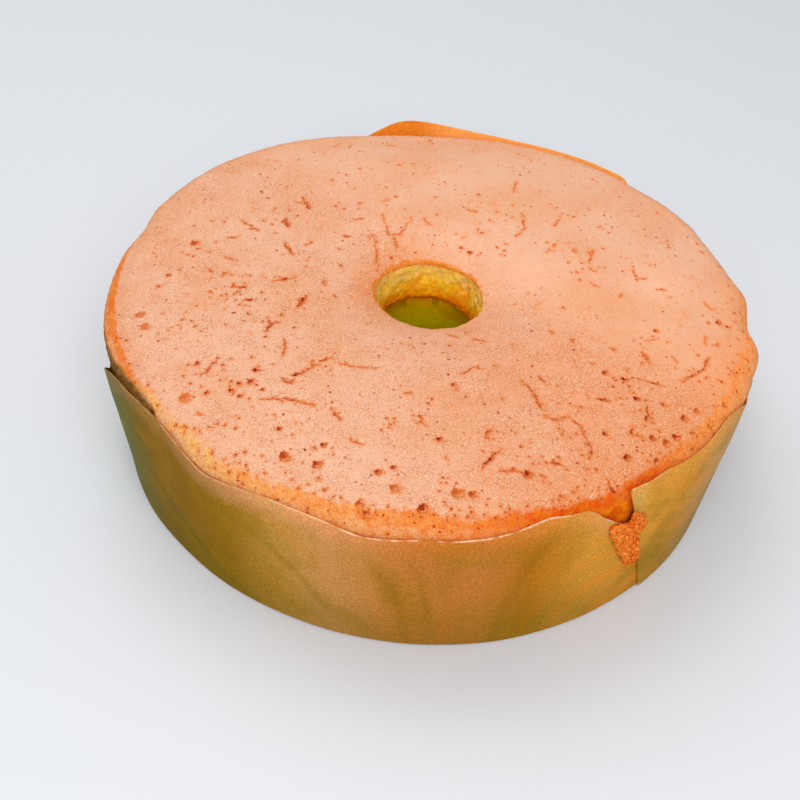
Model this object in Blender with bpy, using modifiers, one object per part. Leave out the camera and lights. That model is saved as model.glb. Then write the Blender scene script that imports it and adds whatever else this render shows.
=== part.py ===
"""Pandan ring cake in its greaseproof paper collar, with batter baked on outside the collar.

Metres, +Z up. The origin is under the middle of the hole, on the surface that the cake
stands on. An azimuth is in degrees from -Y, the front, turning towards +X, the right.
"""

import math

import bmesh
import bpy
from mathutils import Vector, noise

MM = 0.001

# The ring of cake: its widest line is the browned rim, and the side tapers below it.
RIM_RADIUS = 105 * MM
RIM_HEIGHT = 50 * MM
BASE_RADIUS = 99 * MM
BASE_EDGE = 1.5 * MM
SHOULDER_WIDTH = 9 * MM
SHOULDER_HEIGHT = 8 * MM
CREST_RADIUS = 62 * MM
CREST_HEIGHT = 60.4 * MM

# The hole: the top dips to its mouth, a rough throat narrows to a ledge, and the smooth
# wall that the baking tube left widens below it.
MOUTH_RADIUS = 18.1 * MM
MOUTH_HEIGHT = 54.5 * MM
DIP_POWER = 3.6
THROAT_RADIUS = 16.7 * MM
THROAT_HEIGHT = 45 * MM
LEDGE_RADIUS = 16.9 * MM
LEDGE_HEIGHT = 41.3 * MM
TUBE_TOP_RADIUS = 18.4 * MM
TUBE_TOP_HEIGHT = 39.8 * MM
TUBE_BASE_RADIUS = 20.5 * MM

# How many pieces each stretch of the turned outline has, and of the full turn. Points on
# the slope into the hole crowd towards its mouth.
TOP_STEPS, SHOULDER_STEPS, SIDE_STEPS, DIP_STEPS = 10, 7, 4, 11
DIP_CROWDING = 1.6
TURNED_STEPS = 96

# How far the rim swells past its radius or falls short of it: (azimuth, millimetres).
RIM_SWELL = [
    (-164, -1.2), (-154, 0.0), (-142, 1.0), (-129, 1.7), (-112, 0.2), (-102, -2.3),
    (-93, -1.1), (-74, -0.4), (-60, -1.0), (-45, -2.5), (-30, -1.5), (-9, -0.8),
    (3, -0.3), (15, 0.0), (30, -1.5), (45, -2.3), (60, -1.5), (78, 0.0), (86, 1.2),
    (95, -0.9), (102, 1.2), (109, -0.2), (125, 0.5), (137, 0.0), (160, -0.3),
]  # fmt: skip
SWELL_START_RADIUS = 55 * MM
SWELL_AT_BASE = 0.35

# Soft waves in the baked skin, and the coarser crumb of the throat.
SKIN_WAVE = 0.55 * MM
SKIN_WAVE_LENGTH = 26 * MM
THROAT_CRUMB = 0.7 * MM
THROAT_CRUMB_LENGTH = 5 * MM

# A groove runs round the left of the rim, inside a raised outer lip.
GROOVE_RADIUS = 100.2 * MM
GROOVE_HALF_WIDTH = 1.7 * MM
GROOVE_DEPTH = 0.8 * MM
GROOVE_FROM, GROOVE_TO = -100, -46

# Cracks in the skin: (depth, [(x, y), ...]) in millimetres.
CRACKS = [
    (1.5, [(30, -47), (33, -52), (37, -60), (40, -61), (43, -59), (46, -62), (49, -72), (48, -75)]),
    (1.4, [(-33, -46), (-34, -50), (-37, -53), (-42, -56)]),
    (1.0, [(-31, -46), (-27, -44)]),
    (0.9, [(-47, -64), (-39, -63), (-34, -64), (-29, -65)]),
    (0.9, [(-25, -66), (-22, -70)]),
    (0.9, [(-61, -47), (-63, -55)]),
    (0.9, [(-43, -36), (-42, -44)]),
    (1.2, [(51, -51), (55, -51)]),
    (0.9, [(87, -25), (85, -31), (80, -36), (77, -39)]),
    (0.9, [(66, -52), (66, -56), (64, -59)]),
    (1.0, [(23, -76), (19, -82), (18, -85)]),
    (0.8, [(62, -40), (72, -42)]),
    (1.2, [(53, -82), (56, -87)]),
    (0.8, [(29, 44), (30, 35), (27, 30)]),
    (0.8, [(-22, 25), (-20, 21), (-17.5, 10)]),
    (0.7, [(-66, 25), (-59, 19)]),
]  # fmt: skip
CRACK_HALF_WIDTH = 0.7 * MM
CRACK_SNAP = 0.5 * MM
CRACK_REACHES = (2.8 * MM, 1.5 * MM)

# Burst bubbles in the skin: (x, y, radius) in millimetres.
PITS = [
    (-36, -85, 1.7), (-27, -87, 1.4), (-26, -80, 1.0), (-10, -87, 1.0), (-5, -92, 1.2),
    (3, -98, 1.7), (12, -93, 1.5), (-13, -98, 1.1), (6, -74, 1.1), (9, -51, 1.0),
    (31, -83, 1.2), (77, -54, 1.3), (81, -50, 1.3), (74, -62, 1.6), (69, -67, 1.3),
    (59, -73, 1.3), (92, -8, 1.1), (60, -41, 1.1), (63, -48, 1.0), (-79, 10, 1.6),
    (-88, -31, 1.1), (-49, -51, 1.0), (-54, -59, 1.1), (-62, -62, 1.0), (-68, -65, 1.6),
    (-67, -50, 1.0), (12, 24, 1.0), (72, -16, 1.0), (-84, -8, 1.0), (-39, -75, 1.0),
]  # fmt: skip
PIT_DEPTH_TO_RADIUS = 0.85
PIT_FLOOR = 0.55

# The paper collar: one strip round the side, whose ends lap at the front right.
PAPER_THICKNESS = 0.4 * MM
PAPER_CLEARANCE = 0.35 * MM
PAPER_BOTTOM = 0.8 * MM
LAP_LIFT = 0.8 * MM
LAP_RELEASE = 30
OUTER_END_TOP, OUTER_END_BOTTOM = 34.6, 46.5
INNER_END = 412
SEAM_TOP_HEIGHT = 57 * MM

# Height of the collar's top edge: (azimuth, millimetres), from its outer end round the
# back and the left side to its inner end. It stands up behind the cake and dips at the
# left, and its inner end is cut away in a slope.
PAPER_TOP = [
    (34, 57.4), (42, 57.2), (51, 55.2), (59, 54.5), (68, 53.2), (75, 48.0), (85, 43.0),
    (105, 43.0), (125, 47.0), (138.2, 51.5), (139.6, 55.6), (148, 55.6), (155, 55.2),
    (165, 54.5), (173, 54.9), (178, 55.9), (183, 57.0), (187.5, 57.8), (190.5, 57.0),
    (195, 53.4), (199, 49.5), (215, 46.5), (240, 41.0), (260, 34.0), (276, 30.5),
    (283, 32.0), (288, 38.5), (292, 44.2), (299, 51.2), (304, 54.4), (311, 57.0),
    (318, 52.5), (323, 48.5), (330, 50.6), (337, 54.0), (344, 55.0), (348, 52.0),
    (351, 49.2), (355, 49.2), (359, 52.2), (363, 51.8), (368, 51.5), (373, 52.5),
    (377, 55.6), (382, 57.0), (387, 55.2), (395.5, 42.5), (399, 41.0), (412, 40.0),
]  # fmt: skip

# How far the collar stands off the side: (azimuth, millimetres).
PAPER_STANDOFF = [
    (60, 0.0), (85, 0.1), (110, 0.3), (135, 0.6), (160, 0.6), (187, 1.6), (200, 1.2),
    (235, 0.8), (258, 0.7), (280, 0.8), (292, 1.3), (304, 1.4), (315, 0.7), (325, 0.2),
    (345, 0.5), (355, 0.2), (395, 0.0),
]  # fmt: skip
PAPER_WAVE = 0.25 * MM
PAPER_WAVES_ROUND = 4
PAPER_WAVE_HEIGHT = 10 * MM
PAPER_COLUMNS, PAPER_ROWS = 118, 4

# Batter that ran out through the lap and baked on: rows of (height, left, right) azimuth.
DRIP_ROWS = [
    (15.5, 40.9, 42.6), (18.5, 39.6, 42.6), (22.0, 38.6, 42.0), (27.0, 37.2, 41.2),
    (32.0, 35.9, 40.5), (36.0, 34.2, 40.0), (38.5, 33.1, 41.2), (41.0, 32.3, 41.4),
    (43.0, 32.8, 41.2), (45.0, 35.4, 40.8), (48.0, 37.4, 39.8),
]  # fmt: skip
DRIP_CLEARANCE = 0.3 * MM
DRIP_THICKNESS = 2.4 * MM
DRIP_EDGE = 0.7 * MM
DRIP_CRUMB = 0.7 * MM
DRIP_CRUMB_LENGTH = 2.6 * MM
DRIP_COLUMNS, DRIP_EXTRA_ROWS = 8, 3
DRIP_STEP_BEFORE, DRIP_STEP_WIDTH = 1.2, 0.9
DRIP_SIDE_POWER, DRIP_END_POWER = 4, 6

SMOOTH_ANGLE = math.radians(50)


def clear_scene():
    for obj in list(bpy.data.objects):
        bpy.data.objects.remove(obj)


def make_material(name, colour, roughness):
    material = bpy.data.materials.new(name)
    material.use_nodes = True
    shader = material.node_tree.nodes["Principled BSDF"]
    shader.inputs["Base Color"].default_value = (*colour, 1)
    shader.inputs["Roughness"].default_value = roughness
    shader.inputs["Metallic"].default_value = 0
    return material


def polar(point):
    """(radius, azimuth) of a point, the azimuth in degrees from -Y towards +X."""
    return math.hypot(point.x, point.y), math.degrees(math.atan2(point.x, -point.y))


def place(radius, azimuth, height):
    angle = math.radians(azimuth)
    return Vector((radius * math.sin(angle), -radius * math.cos(angle), height))


def ease(share):
    """Goes smoothly from 0 to 1 as the share does, and holds outside that range."""
    share = min(max(share, 0), 1)
    return share * share * (3 - 2 * share)


def along(stations, azimuth):
    """The value at an azimuth, eased between the stations on either side of it."""
    if azimuth <= stations[0][0]:
        return stations[0][1]
    for (start, low), (end, high) in zip(stations, stations[1:]):
        if azimuth <= end:
            return low + (high - low) * ease((azimuth - start) / (end - start))
    return stations[-1][1]


def round_the_ring(stations, azimuth):
    """As along(), for stations that close on themselves after 360 degrees."""
    first, last = stations[0], stations[-1]
    closed = [(last[0] - 360, last[1])] + stations + [(first[0] + 360, first[1])]
    return along(closed, (azimuth - first[0]) % 360 + first[0])


def swell_at(azimuth, height):
    """The rim's swell at this azimuth, less of it the nearer the base the height is."""
    share = min(max(height / RIM_HEIGHT, 0), 1)
    return round_the_ring(RIM_SWELL, azimuth) * MM * (SWELL_AT_BASE + (1 - SWELL_AT_BASE) * share)


def side_radius(azimuth, height):
    """The outer radius of the cake at a height, held at the rim's radius above the rim."""
    share = min(max(height / RIM_HEIGHT, 0), 1)
    return BASE_RADIUS + (RIM_RADIUS - BASE_RADIUS) * share + swell_at(azimuth, height)


def cake_profile():
    """The closed (radius, height) outline, from the crest down the outer side and back."""
    outline = []
    shoulder_radius = RIM_RADIUS - SHOULDER_WIDTH
    shoulder_height = RIM_HEIGHT + SHOULDER_HEIGHT
    for step in range(TOP_STEPS):
        share = step / TOP_STEPS
        radius = CREST_RADIUS + (shoulder_radius - CREST_RADIUS) * share
        outline.append((radius, CREST_HEIGHT - (CREST_HEIGHT - shoulder_height) * share**2))
    for step in range(SHOULDER_STEPS):
        turn = 0.5 * math.pi * (1 - step / SHOULDER_STEPS)
        radius = shoulder_radius + SHOULDER_WIDTH * math.cos(turn)
        outline.append((radius, RIM_HEIGHT + SHOULDER_HEIGHT * math.sin(turn)))
    for step in range(SIDE_STEPS):
        share = step / SIDE_STEPS
        radius = RIM_RADIUS + (BASE_RADIUS - RIM_RADIUS) * share
        outline.append((radius, RIM_HEIGHT * (1 - share) + BASE_EDGE * share))
    outline += [
        (BASE_RADIUS, BASE_EDGE),
        (BASE_RADIUS - BASE_EDGE, 0),
        (0.5 * (BASE_RADIUS + TUBE_BASE_RADIUS), 0),
        (TUBE_BASE_RADIUS + BASE_EDGE, 0),
        (TUBE_BASE_RADIUS, BASE_EDGE),
        (0.5 * (TUBE_BASE_RADIUS + TUBE_TOP_RADIUS), 0.5 * TUBE_TOP_HEIGHT),
        (TUBE_TOP_RADIUS, TUBE_TOP_HEIGHT),
        (LEDGE_RADIUS, LEDGE_HEIGHT),
        (THROAT_RADIUS, THROAT_HEIGHT),
        (0.5 * (THROAT_RADIUS + MOUTH_RADIUS), 0.5 * (THROAT_HEIGHT + MOUTH_HEIGHT)),
    ]
    for step in range(DIP_STEPS):
        share = (step / DIP_STEPS) ** DIP_CROWDING
        radius = MOUTH_RADIUS + (CREST_RADIUS - MOUTH_RADIUS) * share
        rise = 1 - (1 - share) ** DIP_POWER
        outline.append((radius, MOUTH_HEIGHT + (CREST_HEIGHT - MOUTH_HEIGHT) * rise))
    return outline


def turned_mesh(name, outline):
    """The outline turned once round +Z by a Screw modifier, as a mesh."""
    mesh = bpy.data.meshes.new(name + "_outline")
    count = len(outline)
    edges = [(step, (step + 1) % count) for step in range(count)]
    mesh.from_pydata([(radius, 0, height) for radius, height in outline], edges, [])
    turning = bpy.data.objects.new(name + "_outline", mesh)
    bpy.context.scene.collection.objects.link(turning)
    screw = turning.modifiers.new("turn", "SCREW")
    screw.steps = TURNED_STEPS
    screw.render_steps = TURNED_STEPS
    screw.use_merge_vertices = True
    screw.merge_threshold = 0.01 * MM
    graph = bpy.context.evaluated_depsgraph_get()
    result = bpy.data.meshes.new_from_object(turning.evaluated_get(graph))
    result.name = name
    bpy.data.objects.remove(turning)
    return result


def groove_depth(radius, azimuth):
    """How deep the rim's left groove is here, fading out at both its ends."""
    middle = 0.5 * (GROOVE_FROM + GROOVE_TO)
    fade = ease(2 * (1 - abs(azimuth - middle) / (0.5 * (GROOVE_TO - GROOVE_FROM))))
    return GROOVE_DEPTH * fade * math.exp(-(((radius - GROOVE_RADIUS) / GROOVE_HALF_WIDTH) ** 2))


def shape_ring(bm):
    """Moves the turned ring's points: swells the rim, waves the skin, roughens the throat."""
    for vertex in bm.verts:
        radius, azimuth = polar(vertex.co)
        height = vertex.co.z
        outward = ease((radius - SWELL_START_RADIUS) / (RIM_RADIUS - SWELL_START_RADIUS))
        push = swell_at(azimuth, height) * outward
        if height > TUBE_TOP_HEIGHT and radius <= MOUTH_RADIUS:
            push = THROAT_CRUMB * noise.noise(vertex.co / THROAT_CRUMB_LENGTH)
        if height > RIM_HEIGHT:
            lift = ease((height - RIM_HEIGHT) / SHOULDER_HEIGHT)
            height += SKIN_WAVE * lift * noise.noise(vertex.co / SKIN_WAVE_LENGTH)
            height -= groove_depth(radius, azimuth)
        vertex.co = place(radius + push, azimuth, height)


def crack_lines():
    """Each crack as (depth, [(start, end), ...]), flat, in metres."""
    lines = []
    for depth, points in CRACKS:
        corners = [Vector((x, y)) * MM for x, y in points]
        lines.append((depth * MM, list(zip(corners, corners[1:]))))
    return lines


def nearest_on(point, pieces):
    """The flat point nearest to this one on a crack's straight pieces."""
    found = []
    for start, end in pieces:
        run = end - start
        share = min(max((point - start).dot(run) / run.length_squared, 0), 1)
        found.append(start + run * share)
    return min(found, key=lambda spot: (spot - point).length)


def distance_to(point, pieces):
    return (nearest_on(point, pieces) - point).length


def on_skin(point):
    return point.z > RIM_HEIGHT and math.hypot(point.x, point.y) > MOUTH_RADIUS


def cut_cracks(bm):
    """Splits the skin finely beside each crack, then draws the points in it onto its line
    and sinks them."""
    lines = crack_lines()
    for reach in CRACK_REACHES:
        near = []
        for edge in bm.edges:
            middle = 0.5 * (edge.verts[0].co + edge.verts[1].co)
            if on_skin(middle) and any(distance_to(middle.xy, pieces) < reach for _, pieces in lines):
                near.append(edge)
        bmesh.ops.subdivide_edges(bm, edges=near, cuts=1, use_grid_fill=True)
    for vertex in filter(lambda one: on_skin(one.co), bm.verts):
        depth, pieces = min(lines, key=lambda line: distance_to(vertex.co.xy, line[1]))
        spot = nearest_on(vertex.co.xy, pieces)
        if (spot - vertex.co.xy).length < CRACK_SNAP:
            vertex.co.xy = spot
        spread = (spot - vertex.co.xy).length / CRACK_HALF_WIDTH
        vertex.co.z -= depth * math.exp(-(spread**2))


def round_off(face, centre, radius, depth):
    """Puts a face's corners evenly on a level circle, keeping the way its first one points."""
    start = face.verts[0].co - centre
    first = math.atan2(start.y, start.x)
    for step, vertex in enumerate(face.verts):
        turn = first + 2 * math.pi * step / len(face.verts)
        spot = Vector((math.cos(turn), math.sin(turn), 0)) * radius
        vertex.co = centre + spot - Vector((0, 0, depth))


def open_pits(bm):
    """Insets the face under each burst bubble and sinks its middle to the pit's size."""
    skin = [face for face in bm.faces if on_skin(face.calc_center_median()) and face.normal.z > 0.3]
    for x, y, radius in PITS:
        middle = Vector((x, y)) * MM
        face = min(skin, key=lambda one: (one.calc_center_median().xy - middle).length)
        skin.remove(face)
        centre = face.calc_center_median()
        room = min((edge.verts[0].co + edge.verts[1].co - 2 * centre).length for edge in face.edges) / 2
        mouth = min(radius * MM, 0.85 * room)
        bmesh.ops.inset_individual(bm, faces=[face], thickness=0.2 * room)
        bmesh.ops.subdivide_edges(bm, edges=face.edges[:], cuts=1)
        round_off(face, centre, mouth, 0)
        bmesh.ops.inset_individual(bm, faces=[face], thickness=0.2 * mouth)
        round_off(face, centre, mouth * PIT_FLOOR, mouth * PIT_DEPTH_TO_RADIUS)


def finish(bm, mesh):
    """Writes the triangles back to the mesh, shaded smooth except along sharp edges."""
    bmesh.ops.triangulate(bm, faces=bm.faces[:])
    bmesh.ops.recalc_face_normals(bm, faces=bm.faces[:])
    bm.to_mesh(mesh)
    bm.free()
    mesh.shade_smooth()
    mesh.set_sharp_from_angle(angle=SMOOTH_ANGLE)


def make_object(name, mesh, material, collection):
    obj = bpy.data.objects.new(name, mesh)
    mesh.materials.clear()
    mesh.materials.append(material)
    collection.objects.link(obj)
    return obj


def make_cake(collection):
    mesh = turned_mesh("cake", cake_profile())
    bm = bmesh.new()
    bm.from_mesh(mesh)
    shape_ring(bm)
    cut_cracks(bm)
    open_pits(bm)
    finish(bm, mesh)
    skin = make_material("baked_skin", (0.86, 0.42, 0.2), 0.75)
    return make_object("cake", mesh, skin, collection)


def paper_radius(turn, height):
    """The collar's inner radius, at an azimuth that runs on past 360 to its inner end."""
    lap = LAP_LIFT * (1 - ease((turn - OUTER_END_BOTTOM) / LAP_RELEASE))
    standoff = along(PAPER_STANDOFF, turn) * MM * ease(height / RIM_HEIGHT)
    wave = PAPER_WAVE * (1 + noise.noise(place(PAPER_WAVES_ROUND, turn, height / PAPER_WAVE_HEIGHT)))
    return side_radius(turn, height) + PAPER_CLEARANCE + lap + standoff + wave


def paper_start(height):
    """Azimuth of the outer end, which is cut at a slant."""
    share = min(height / SEAM_TOP_HEIGHT, 1)
    return OUTER_END_BOTTOM + (OUTER_END_TOP - OUTER_END_BOTTOM) * share


def make_collar(collection):
    """A flat grid bent round the cake, and given its thickness outwards."""
    bm = bmesh.new()
    bmesh.ops.create_grid(bm, x_segments=PAPER_COLUMNS, y_segments=PAPER_ROWS, size=1)
    for vertex in bm.verts:
        round_share = 0.5 * (vertex.co.x + 1)
        up_share = 0.5 * (vertex.co.y + 1)
        top_turn = OUTER_END_TOP + (INNER_END - OUTER_END_TOP) * round_share
        top = along(PAPER_TOP, top_turn) * MM
        height = PAPER_BOTTOM + (top - PAPER_BOTTOM) * up_share
        start = paper_start(height)
        turn = start + (INNER_END - start) * round_share
        vertex.co = place(paper_radius(turn, height), turn, height)
    mesh = bpy.data.meshes.new("paper_collar")
    bm.to_mesh(mesh)
    bm.free()
    mesh.shade_smooth()
    paper = make_material("greaseproof_paper", (0.52, 0.3, 0.07), 0.55)
    collar = make_object("paper_collar", mesh, paper, collection)
    sheet = collar.modifiers.new("thickness", "SOLIDIFY")
    sheet.thickness = PAPER_THICKNESS
    sheet.offset = 1
    return collar


def outside_collar(turn, height):
    """The radius just clear of the paper's outer face, stepping out over the outer end."""
    inner = paper_radius(turn + 360, height)
    outer = paper_radius(turn, height)
    over = ease((turn - paper_start(height) + DRIP_STEP_BEFORE) / DRIP_STEP_WIDTH)
    return inner + (outer - inner) * over + PAPER_THICKNESS + DRIP_CLEARANCE


def make_drip(collection):
    """A crumbly tongue on the paper: a grid laid on the collar, then thickened outwards."""
    lowest, highest = DRIP_ROWS[0][0], DRIP_ROWS[-1][0]
    left = [(height, azimuth) for height, azimuth, _ in DRIP_ROWS]
    right = [(height, azimuth) for height, _, azimuth in DRIP_ROWS]
    rows = len(DRIP_ROWS) + DRIP_EXTRA_ROWS
    bm = bmesh.new()
    bmesh.ops.create_grid(bm, x_segments=DRIP_COLUMNS, y_segments=rows, size=1)
    flat = bm.faces[:]
    raised = bmesh.ops.extrude_face_region(bm, geom=flat)["geom"]
    front = {part for part in raised if isinstance(part, bmesh.types.BMVert)}
    for vertex in bm.verts:
        across, up = vertex.co.x, vertex.co.y
        level = lowest + (highest - lowest) * 0.5 * (up + 1)
        west, east = along(left, level), along(right, level)
        turn = 0.5 * (west + east) + 0.5 * (east - west) * across
        spot = place(outside_collar(turn, level * MM), turn, level * MM)
        if vertex in front:
            bulge = (1 - across**DRIP_SIDE_POWER) * (1 - up**DRIP_END_POWER)
            crumb = noise.noise(spot / DRIP_CRUMB_LENGTH) * DRIP_CRUMB
            thickness = DRIP_EDGE + (DRIP_THICKNESS - DRIP_EDGE + crumb) * bulge
            spot += place(thickness, turn, 0)
        vertex.co = spot
    mesh = bpy.data.meshes.new("crust_drip")
    finish(bm, mesh)
    crust = make_material("leaked_crust", (0.72, 0.2, 0.04), 0.85)
    return make_object("crust_drip", mesh, crust, collection)


def main():
    clear_scene()
    collection = bpy.data.collections.new("pandan_cake")
    bpy.context.scene.collection.children.link(collection)
    make_cake(collection)
    make_collar(collection)
    make_drip(collection)


main()
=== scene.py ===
import math
import random

import bpy
import numpy as np
from mathutils import Matrix, Vector, noise
from mathutils.kdtree import KDTree


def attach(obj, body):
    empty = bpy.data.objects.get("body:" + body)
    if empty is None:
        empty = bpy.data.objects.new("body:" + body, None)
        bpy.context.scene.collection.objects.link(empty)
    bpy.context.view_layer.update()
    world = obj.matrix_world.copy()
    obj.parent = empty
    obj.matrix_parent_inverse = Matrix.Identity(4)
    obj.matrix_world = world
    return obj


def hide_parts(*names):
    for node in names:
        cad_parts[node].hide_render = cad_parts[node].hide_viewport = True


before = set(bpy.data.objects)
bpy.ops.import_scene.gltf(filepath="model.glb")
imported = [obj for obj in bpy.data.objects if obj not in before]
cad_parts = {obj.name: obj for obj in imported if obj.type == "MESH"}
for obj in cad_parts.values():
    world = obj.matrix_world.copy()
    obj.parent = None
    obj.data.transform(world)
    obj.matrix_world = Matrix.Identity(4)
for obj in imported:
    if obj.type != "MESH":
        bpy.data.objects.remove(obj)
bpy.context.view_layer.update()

# A pandan ring cake, browned on top, in the greaseproof paper that it was baked in.
# Metres, +Z up. The origin is under the middle of the hole, on the surface that the cake
# stands on. An azimuth is in degrees from -Y, the front, turning towards +X, the right.
# Stations are spots round the ring with a value at each, eased from one to the next.

MM = 0.001
SEED = 7

# The view.
CAMERA_PLACE = (0, -343.03 * MM, 309.83 * MM)
CAMERA_DOWN = math.radians(41.351)
CAMERA_LEFT = math.radians(1.242)
CAMERA_ROLL = math.radians(4.252)
CAMERA_LENS = 58.96
CAMERA_SENSOR = 36

# The studio. Each light is a soft square: (name, place, width, watts, colour).
LIGHTS = [
    ("overhead", (-0.35, 0.42, 1.1), 0.9, 5.4, (1, 0.99, 0.97)),
    ("front_fill", (0.08, -0.78, 0.85), 0.8, 9.0, (1, 0.99, 0.98)),
]  # fmt: skip
BACKDROP_LIGHT = 0.5
FLOOR_WIDTH = 6

SMOOTH_ANGLE = math.radians(60)
WELD = 0.01 * MM
LEAST_WEIGHT = 0.001

# ---- The ring of cake, as its solid has it.
RIM_RADIUS = 105 * MM
RIM_HEIGHT = 50 * MM
BASE_RADIUS = 99 * MM
BASE_EDGE = 1.5 * MM
SHOULDER_WIDTH = 9 * MM
SHOULDER_HEIGHT = 8 * MM
SHOULDER_RADIUS = RIM_RADIUS - SHOULDER_WIDTH
CREST_RADIUS = 62 * MM
CREST_HEIGHT = 60.4 * MM
MOUTH_RADIUS = 18.1 * MM
MOUTH_HEIGHT = 54.5 * MM
DIP_POWER = 3.6
THROAT_RADIUS = 16.7 * MM
THROAT_HEIGHT = 45 * MM
LEDGE_RADIUS = 16.9 * MM
LEDGE_HEIGHT = 41.3 * MM
TUBE_TOP_RADIUS = 18.4 * MM
TUBE_TOP_HEIGHT = 39.8 * MM
TUBE_BASE_RADIUS = 20.5 * MM
# A low point inside this radius is in the hole, and one outside it on the side.
HOLE_OR_SIDE = 60 * MM
# The skin is the part of the surface above this.
SKIN_LOWEST = RIM_HEIGHT - 2 * MM

# How many pieces each stretch of the turned outline has, and the full turn.
TOP_STEPS, SHOULDER_STEPS, SIDE_STEPS, TUBE_STEPS = 28, 12, 12, 8
LEDGE_STEPS, THROAT_STEPS, MOUTH_STEPS, DIP_STEPS = 3, 6, 16, 37
DIP_CROWDING = 1.25
TURNED_STEPS = 288

# How far the rim swells past its radius or falls short of it: (azimuth, millimetres).
RIM_SWELL = [
    (-164, -1.2), (-154, 0.0), (-142, 1.0), (-129, 1.7), (-112, 0.2), (-102, -2.3),
    (-93, -1.1), (-74, -0.4), (-60, -1.0), (-45, -2.5), (-30, -1.5), (-9, -0.8),
    (3, -0.3), (15, 0.0), (30, -1.5), (45, -2.3), (60, -1.5), (75, -0.2), (82.5, 1.5),
    (89, -1.4), (92.5, -0.6), (97.5, 1.1), (103, -0.4), (109, -0.6), (114, -0.4),
    (121, 0.7), (137, 0.0), (160, -0.3),
]  # fmt: skip
SWELL_START_RADIUS = 55 * MM
SWELL_AT_BASE = 0.35
SKIN_WAVE, SKIN_WAVE_LENGTH = 0.55 * MM, 26 * MM

# The throat's crumb is shallower within a few millimetres of the mouth.
THROAT_CRUMB, THROAT_CRUMB_LENGTH = 0.7 * MM, 5 * MM
CRUMB_AT_MOUTH, MOUTH_EASING = 0.6, 3 * MM
# At the back right the hole's mouth is narrower and the ledge in it lower.
LEDGE_SAG = 2.6 * MM
LEDGE_SAG_AZIMUTH, LEDGE_SAG_HALF_TURN = 112, 42
LEDGE_WAVE, LEDGE_WAVE_LENGTH = 0.8 * MM, 6 * MM
MOUTH_NARROWING, MOUTH_NARROWING_REACH = 1.3 * MM, 5 * MM

# At the back, behind the crest, the skin has sunk a little.
BACK_DROOP = 2.1 * MM
BACK_DROOP_START = 70 * MM
BACK_DROOP_AZIMUTH, BACK_DROOP_HALF_TURN = 186, 17

# A groove runs round the left of the rim, inside a raised outer lip.
GROOVE_RADIUS = 100.2 * MM
GROOVE_HALF_WIDTH = 1.7 * MM
GROOVE_DEPTH = 0.8 * MM
GROOVE_FROM, GROOVE_TO = -104, -44
GROOVE_MARK_START, GROOVE_MARK_FADE = 99.5 * MM, 2 * MM

# Fine lumps that roughen the cake: (where, depth, size).
CAKE_LUMPS = [
    ("skin", 0.22 * MM, 3.2 * MM),
    ("rim", 0.5 * MM, 1.6 * MM),
    ("throat", 1.3 * MM, 1.5 * MM),
]  # fmt: skip
# The rim's lumps set in outwards from this radius and upwards from this height, each over
# the length after it.
RIM_LUMPS_RADIUS, RIM_LUMPS_FADE = 97 * MM, 4 * MM
RIM_LUMPS_HEIGHT, RIM_LUMPS_RISE = 36 * MM, 6 * MM
# The throat's lumps reach this far past its mouth and its ledge, and are weaker at the mouth.
THROAT_LUMPS_OUT, THROAT_LUMPS_DOWN = 1.5 * MM, 1 * MM
THROAT_LUMPS_AT_MOUTH = 0.45

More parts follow.
